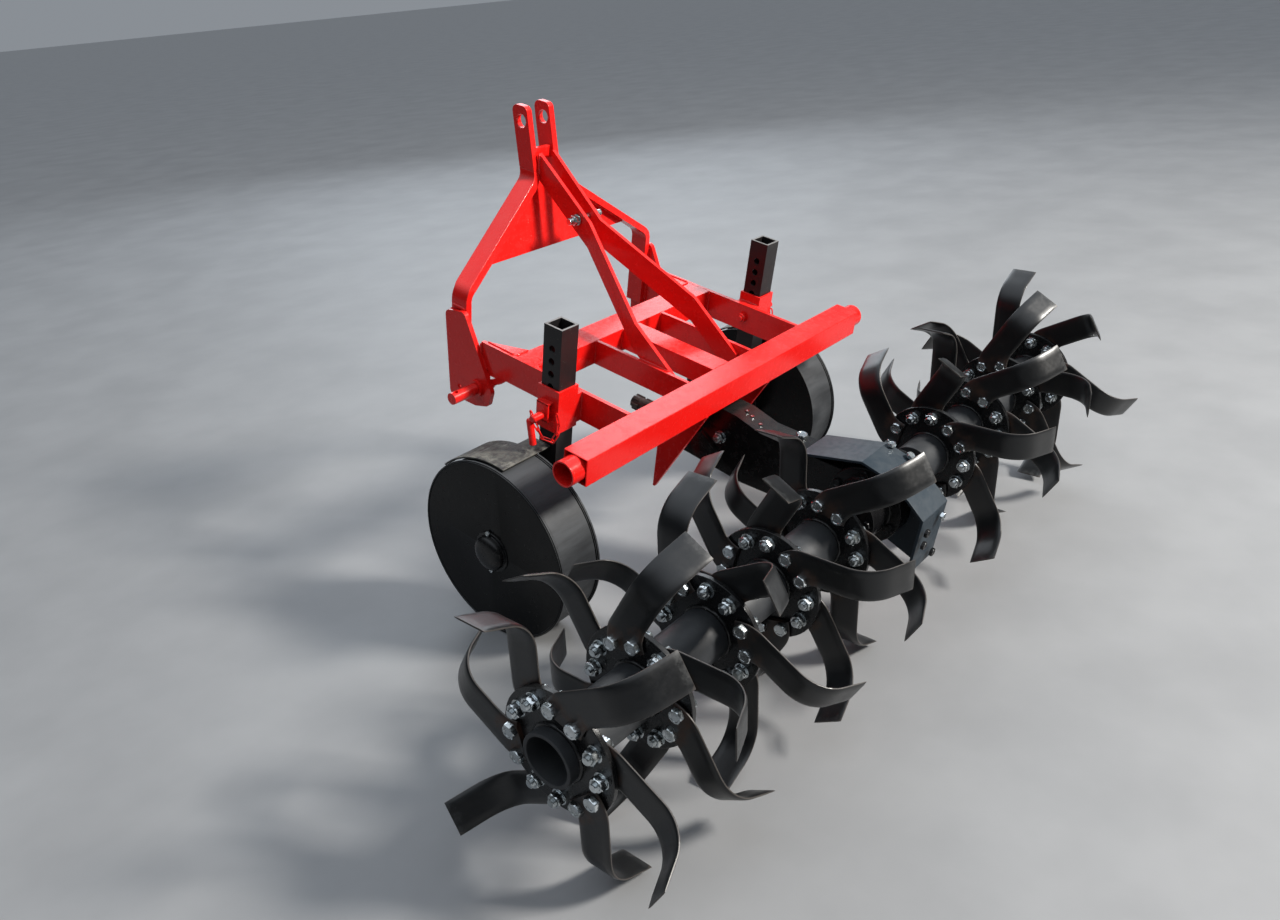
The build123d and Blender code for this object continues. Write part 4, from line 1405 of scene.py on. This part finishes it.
@dataclass
class SleeveFittings:
    """Channel bracket, long pin end, hanging lock pin and its chain at each post sleeve."""

    face_x: float = 402.7
    bracket_y: tuple[float, float] = (205.0, 238.0)
    pin_y: float = 219.6
    pin_z: float = -34.5
    pin_radius: float = 8.6
    pin_tip_x: float = 450.0
    lock_radius: float = 7.6
    lock_long: float = 56.0
    lock_from_tip: Point = (-4.0, 9.0, -8.0)
    link_wire: float = 1.8
    link_wide: float = 4.6
    link_long: float = 30.0
    chain: ClassVar[tuple[Point, ...]] = (
        (442.0, 229.5, -24.0), (439.0, 228.0, -42.0), (432.0, 220.6, -61.4),
        (424.0, 212.3, -86.0), (412.0, 189.6, -91.0), (406.0, 183.4, -67.5),
        (405.5, 184.0, -36.4), (408.0, 199.4, -10.0),
    )
    bars: ClassVar[tuple[Point, ...]] = (
        # from the sleeve's face to the bar's middle, z, width and height of the bar
        (6.5, -8.0, 17.0, 4.0), (13.0, -28.0, 4.0, 44.0), (6.5, -48.0, 17.0, 4.0),
    )

    def channel(self, side: int) -> Shape:
        """The bracket as three flat bars, so that every face stays plain.

        Args:
            side: 1 for the machine's right, -1 for its left.

        Returns:
            The bracket in place.
        """
        made = []
        for off, z, wide, high in self.bars:
            ends = [(self.face_x + off, y, z) for y in self.bracket_y]
            path = np.array(ends) * (side, 1, 1)
            made.append(swept(path, rounded_box(wide, high, 0.8), (1, 0, 0)))
        return gathered(made)

    def pin(self, side: int) -> Shape:
        """End of the post pin beyond the bracket, with its rim turned off.

        Args:
            side: 1 for the machine's right, -1 for its left.

        Returns:
            The pin's end in place.
        """
        r, long = self.pin_radius, self.pin_tip_x - self.face_x
        profile = [(0, 0), (r, 0), (r, long - 2), (r - 2, long), (0, long)]
        spot = (side * self.face_x, self.pin_y, self.pin_z)
        return turned(profile).copies([axes_at(spot, (side, 0, 0), (0, 0, 1))])

    def lock(self, side: int) -> Shape:
        """Lock pin that hangs straight down in the world from the end of the post pin.

        Args:
            side: 1 for the machine's right, -1 for its left.

        Returns:
            The lock pin in place.
        """
        r, long = self.lock_radius, self.lock_long
        turn = np.radians(np.linspace(90, 0, 5))
        profile = [(r * math.cos(t), -r * math.sin(t) * 0.8) for t in turn]
        profile += [(r, long - 2), (r - 2, long), (0, long)]
        x, y, z = np.add((self.pin_tip_x, self.pin_y, self.pin_z), self.lock_from_tip)
        spot = (side * x, y, z)
        return turned(profile).copies([axes_at(spot, MACHINE.plumb(), (0, 1, 0))])

    def links(self, side: int) -> Shape:
        """Chain of long links along its hanging line, every second link a quarter turned.

        Args:
            side: 1 for the machine's right, -1 for its left.

        Returns:
            The chain in place.
        """
        line = np.array(self.chain) * (side, 1, 1)
        pitch = self.link_long - 4 * self.link_wire
        count = int(run_along(line)[-1] / pitch)
        half, r = self.link_long / 2 - self.link_wide, self.link_wide
        turn = np.radians(np.linspace(-90, 90, 5))
        arc = np.stack([np.cos(turn) * r, np.sin(turn) * r], -1)
        loop = np.concatenate([arc + (half, 0), -arc - (half, 0)])
        path = np.column_stack([loop[:, 1], np.zeros(len(loop)), loop[:, 0]])
        link = swept(path, circle(self.link_wire, 6), (0, 1, 0), closed=True)
        knots = spots_along(line, np.arange(count + 1) * pitch)
        ups = [(1.0, 0.3, 0.0) if k % 2 else (0.2, 1.0, 0.2) for k in range(count)]
        return link.copies(
            [axes_at((a + b) / 2, b - a, up) for a, b, up in zip(knots, knots[1:], ups)]
        )

    def build(self) -> None:
        """Build the fittings of both sleeves."""
        for side, name in zip(SIDES, ("left", "right")):
            parts = [self.channel(side), self.pin(side), self.lock(side), self.links(side)]
            gathered(parts).build(name + "_sleeve_fittings", "frame", Coat.RED, 35.0)


@dataclass
class MastFittings:
    """Nuts on the cross bolt of the stays."""

    bolt_y: float = 500.0
    bolt_z: float = 221.0
    stay_out: float = 26.0
    bolt: Fastener = Fastener(flats=22.0, end_long=12.0)

    def build(self) -> None:
        """A nut and bolt end outside each stay."""
        places = [
            axes_at((side * self.stay_out, self.bolt_y, self.bolt_z), (side, 0, 0), spun(side + 3))
            for side in SIDES
        ]
        self.bolt.nut().copies(places).build("stay_nuts", "frame", Coat.ZINC, 25.0)


# Drive


@dataclass
class Drive:
    """Splined input stub, and the bolts and seams on the gear arm, case and cover.

    A round of bolts is given as the radius of its circle and the turn of its first bolt.
    """

    stub_z: float = -194.0
    stub_radius: float = 20.0
    root_radius: float = 16.6
    splines: int = 6
    journal_radius: float = 22.0
    back_y: float = 60.0
    housing_y: float = 202.0
    housing_face_y: float = 110.0
    housing_radius: float = 45.0
    tip_y: float = 299.0
    case_half: float = 50.0
    bearing_radius: float = 62.0
    bearing_x: float = 120.0
    case_round: tuple[float, float] = (73.0, 20.0)
    bearing_round: tuple[float, float] = (46.0, 50.0)
    rear_y: float = -513.0
    weld: float = 3.2
    housing_edge: float = 3.4
    heads: ClassVar[tuple[tuple[Point, Point], ...]] = (
        # place and outward direction: two on the arm, one on the cover's rear
        ((48.0, -362.0, -38.5), (0, 0.18, 1)), ((50.0, -406.0, -46.5), (0, -0.4, 1)),
        ((26.0, rear_y, -132.0), (0, -1, 0)),
    )
    top_bolt: Point = (18.0, -165.0, -96.2)
    cross_bolt: Point = (36.0, 10.6, -152.0)
    pips: ClassVar[tuple[Point, ...]] = (
        (0.5, -26.0, -83.2), (-4.0, -44.0, -88.0), (-10.0, -72.0, -94.0),
    )
    rear_bolts: ClassVar[tuple[tuple[float, float], ...]] = (
        # x and z of the dark bolts on the cover's rear
        (-41.0, -142.0), (-41.0, -173.0), (26.0, -226.0),
    )
    bolt: Fastener = Fastener(flats=17.0, head_high=7.0, shank=10.0)
    large_bolt: Fastener = Fastener(nut_high=12.0, end_long=8.0)
    pip: Fastener = Fastener(flats=8.5, head_high=3.0, shank=5.0)

    def stub(self) -> Shape:
        """Input shaft: plain journal, splined end with a lock groove and a turned rim.

        In the splined stretch the radius at angle a is the root's plus the tooth height times a
        square wave of n a with eased flanks, 0.5 + 0.5 tanh(4 cos(n a)).

        Returns:
            The shaft along the machine's y axis.
        """
        angle = np.linspace(0, 2 * math.pi, self.splines * 16, endpoint=False)
        wave = 0.5 + 0.5 * np.tanh(4.0 * np.cos(self.splines * angle))
        tooth = self.root_radius + (self.stub_radius - self.root_radius) * wave
        home, tip, groove, root = self.housing_y, self.tip_y, self.tip_y - 30, self.root_radius
        rows = [
            # y and radius
            (self.back_y, 0.0), (self.back_y, self.journal_radius), (home, self.journal_radius),
            (home, self.stub_radius), (home + 14, self.stub_radius), (home + 22, tooth),
            (groove - 5, tooth), (groove - 4.5, root), (groove + 4.5, root), (groove + 5, tooth),
            (tip - 4, tooth), (tip, root - 2), (tip, 0.0),
        ]
        y = np.array([[row[0]] for row in rows]) * np.ones_like(angle)
        r = np.stack([row[1] * np.ones_like(angle) for row in rows])
        return Shape().grid(np.stack([r * np.cos(angle), y, self.stub_z + r * np.sin(angle)], -1))

    def zinc(self) -> Shape:
        """Bright bolts: through the arm, on its top, on the cover, and three small ones.

        Returns:
            All of them in place.
        """
        heads = [
            axes_at(spot, out, (1.0, 0.2 * k, 0.1)) for k, (spot, out) in enumerate(self.heads)
        ]
        tops = [
            axes_at(self.top_bolt, (0, 0, 1), (1, 0.3, 0)),
            axes_at(self.cross_bolt, (1, 0, 0), (0, 0.4, 1)),
        ]
        x, y, z = self.cross_bolt
        return gathered([
            self.bolt.head().copies(heads),
            self.large_bolt.head().copies(tops),
            self.large_bolt.nut().copies([axes_at((-x, y, z), (-1, 0, 0), (0, 0.2, 1))]),
            self.pip.head().copies([axes_at(spot, (0, 0.1, 1), (1, 0, 0)) for spot in self.pips]),
        ])

    def ring_bolts(self) -> Shape:
        """Dark bolts on the case's sides, on the bearing housings and on the cover's rear.

        Returns:
            All of them in place.
        """
        rounds = ((self.case_half, *self.case_round), (self.bearing_x, *self.bearing_round))
        places = [
            axes_at(on_ring(side * x, radius, 60 * step + first), (side, 0, 0), spun(step))
            for side in SIDES for x, radius, first in rounds for step in range(6)
        ] + [
            axes_at((x, self.rear_y, z), (0, -1, 0), (0.3, 0, 1))
            for x, z in self.rear_bolts
        ]
        return self.bolt.head().copies(places)

    def seams(self) -> Shape:
        """Beads round the bearing housings and the input housing.

        Returns:
            All of them in place.
        """
        rings = [
            ring(side * self.case_half, ROTOR_Y, ROTOR_Z, self.bearing_radius, 120)
            for side in SIDES
        ]
        x, z = circle(self.housing_radius, 100)[::-1].T
        front = np.column_stack([x, np.full(100, self.housing_face_y), self.stub_z + z])
        return gathered(bead(path, self.weld, closed=True) for path in rings).join(
            swept(front, circle(self.housing_edge, 8), (0, 1, 0), closed=True)
        )

    def build(self) -> None:
        """Build the drive's pieces."""
        stub = self.stub().build("input_shaft_skin", "input_shaft", Coat.STEEL, 30.0)
        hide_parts("input_shaft")
        self.zinc().build("drive_bolts", "frame", Coat.ZINC, 25.0)
        self.ring_bolts().build("housing_bolts", "frame", Coat.BLACK, 40.0)
        self.seams().build("drive_seams", "frame", Coat.BLACK, 40.0)


# Studio


@dataclass
class Studio:
    """Pale floor, soft light and the camera at the photograph's angle."""

    eye: tuple[float, float, float] = (-1826.6, -1085.3, 1096.9)
    yaw: float = 53.5978
    pitch: float = 32.5736
    roll: float = 6.0079
    focal_px: float = 1053.71
    width_px: float = 1280.0
    sensor: float = 36.0
    floor_reach: float = 100.0
    horizon: float = 0.05
    zenith: float = 1.2
    backdrop: float = 0.3
    sky_colour: Colour = rgb(0.84, 0.91, 1.0)
    floor_dark: Colour = rgb(0.18, 0.183, 0.187)
    floor_pale: Colour = rgb(0.215, 0.218, 0.222)
    aim: Point = (0.0, 0.0, 0.4)
    lamps: ClassVar[tuple[tuple, ...]] = (
        # name, place in world metres, side in metres, watts, colour
        ("key", (2.4, -5.2, 4.6), 1.2, 1120.0, (1.0, 0.96, 0.9)),
        ("far_sky", (4.2, 4.6, 3.6), 4.5, 200.0, (0.86, 0.93, 1.0)),
    )

    def camera(self) -> None:
        """Camera placed by the fit: its turn is yaw and pitch of the machine frame, then roll."""
        yaw, pitch, roll = (math.radians(v) for v in (self.yaw, self.pitch, self.roll))
        level = np.array([math.cos(yaw), -math.sin(yaw), 0.0])
        onward = np.array([math.sin(yaw), math.cos(yaw), 0.0])
        ahead = math.cos(pitch) * onward - (0.0, 0.0, math.sin(pitch))
        upright = np.cross(level, ahead)
        right = level * math.cos(roll) + upright * math.sin(roll)
        up = -level * math.sin(roll) + upright * math.cos(roll)
        matrix = np.eye(4)
        matrix[:3, :3] = MACHINE.turn(np.array([right, up, -ahead])).T
        matrix[:3, 3] = MACHINE.place(np.array(self.eye))
        data = bpy.data.cameras.new("camera")
        data.sensor_width, data.lens = self.sensor, self.sensor * self.focal_px / self.width_px
        data.clip_start, data.clip_end = 0.05, 300.0
        camera = bpy.data.objects.new("camera", data)
        bpy.context.scene.collection.objects.link(camera)
        camera.matrix_world = Matrix(matrix.tolist())
        bpy.context.scene.camera = camera

    def floor(self) -> None:
        """A wide pale floor under the machine."""
        r = self.floor_reach
        mesh = bpy.data.meshes.new("floor")
        corners = [(-r, -r, 0), (r, -r, 0), (r, r, 0), (-r, r, 0)]
        mesh.from_pydata(corners, [], [(0, 1, 2, 3)])
        floor = bpy.data.objects.new("floor", mesh)
        bpy.context.scene.collection.objects.link(floor)
        material = bpy.data.materials.new("pale_floor")
        material.use_nodes = True
        paint = Coating(material.node_tree)
        tone = paint.patchy(3.0, 4.0, 0.2, 0.8)
        paint.feed(Base_Color=paint.mix(tone, self.floor_dark, self.floor_pale), Roughness=0.6)
        mesh.materials.append(material)

    def light(self, name: str, place: Point, size: float, watts: float, colour: Point) -> None:
        """A square area light that faces the machine.

        Args:
            name: its name.
            place: where it stands, in world metres.
            size: length of its side in metres.
            watts: its power.
            colour: its colour.
        """
        data = bpy.data.lights.new(name, "AREA")
        data.size, data.energy, data.color = size, watts, colour
        lamp = bpy.data.objects.new(name, data)
        bpy.context.scene.collection.objects.link(lamp)
        lamp.location = place
        facing = Vector(self.aim) - Vector(place)
        lamp.rotation_euler = facing.to_track_quat("-Z", "Y").to_euler()
        lamp.visible_camera = False

    def sky(self) -> None:
        """Even sky that is brighter overhead, and a plain backdrop where the camera sees it."""
        world = bpy.data.worlds.new("sky")
        bpy.context.scene.world = world
        world.use_nodes = True
        graph = Graph(world.node_tree)
        where = graph.node("TexCoord").outputs["Generated"]
        height = graph.node("SeparateXYZ", None, Vector=where).outputs["Z"]
        glow = graph.scaled(graph.span(height, 0.3, 0.9), self.zenith, self.horizon)
        seen = graph.node("LightPath").outputs["Is Camera Ray"]
        extra = graph.times(graph.math("SUBTRACT", self.backdrop, glow), seen)
        sky = world.node_tree.nodes["Background"]
        graph.put(sky.inputs["Color"], self.sky_colour)
        graph.put(sky.inputs["Strength"], graph.math("ADD", extra, glow))

    def build(self) -> None:
        """Camera, floor, sky and lights."""
        self.camera()
        self.floor()
        self.sky()
        bpy.context.scene.view_settings.view_transform = "Standard"
        for lamp in self.lamps:
            self.light(*lamp)


def main() -> None:
    """Build the machine's looks piece by piece and report each one."""
    logging.basicConfig(level=logging.INFO, format="%(name)s %(message)s")
    Rotor().build()
    Wheels().build()
    FrameWelds().build()
    SleeveFittings().build()
    MastFittings().build()
    Drive().build()
    NodeDresser().build(skip=("left_tines", "right_tines", "input_shaft"))
    Studio().build()


if __name__ == "__main__":
    main()
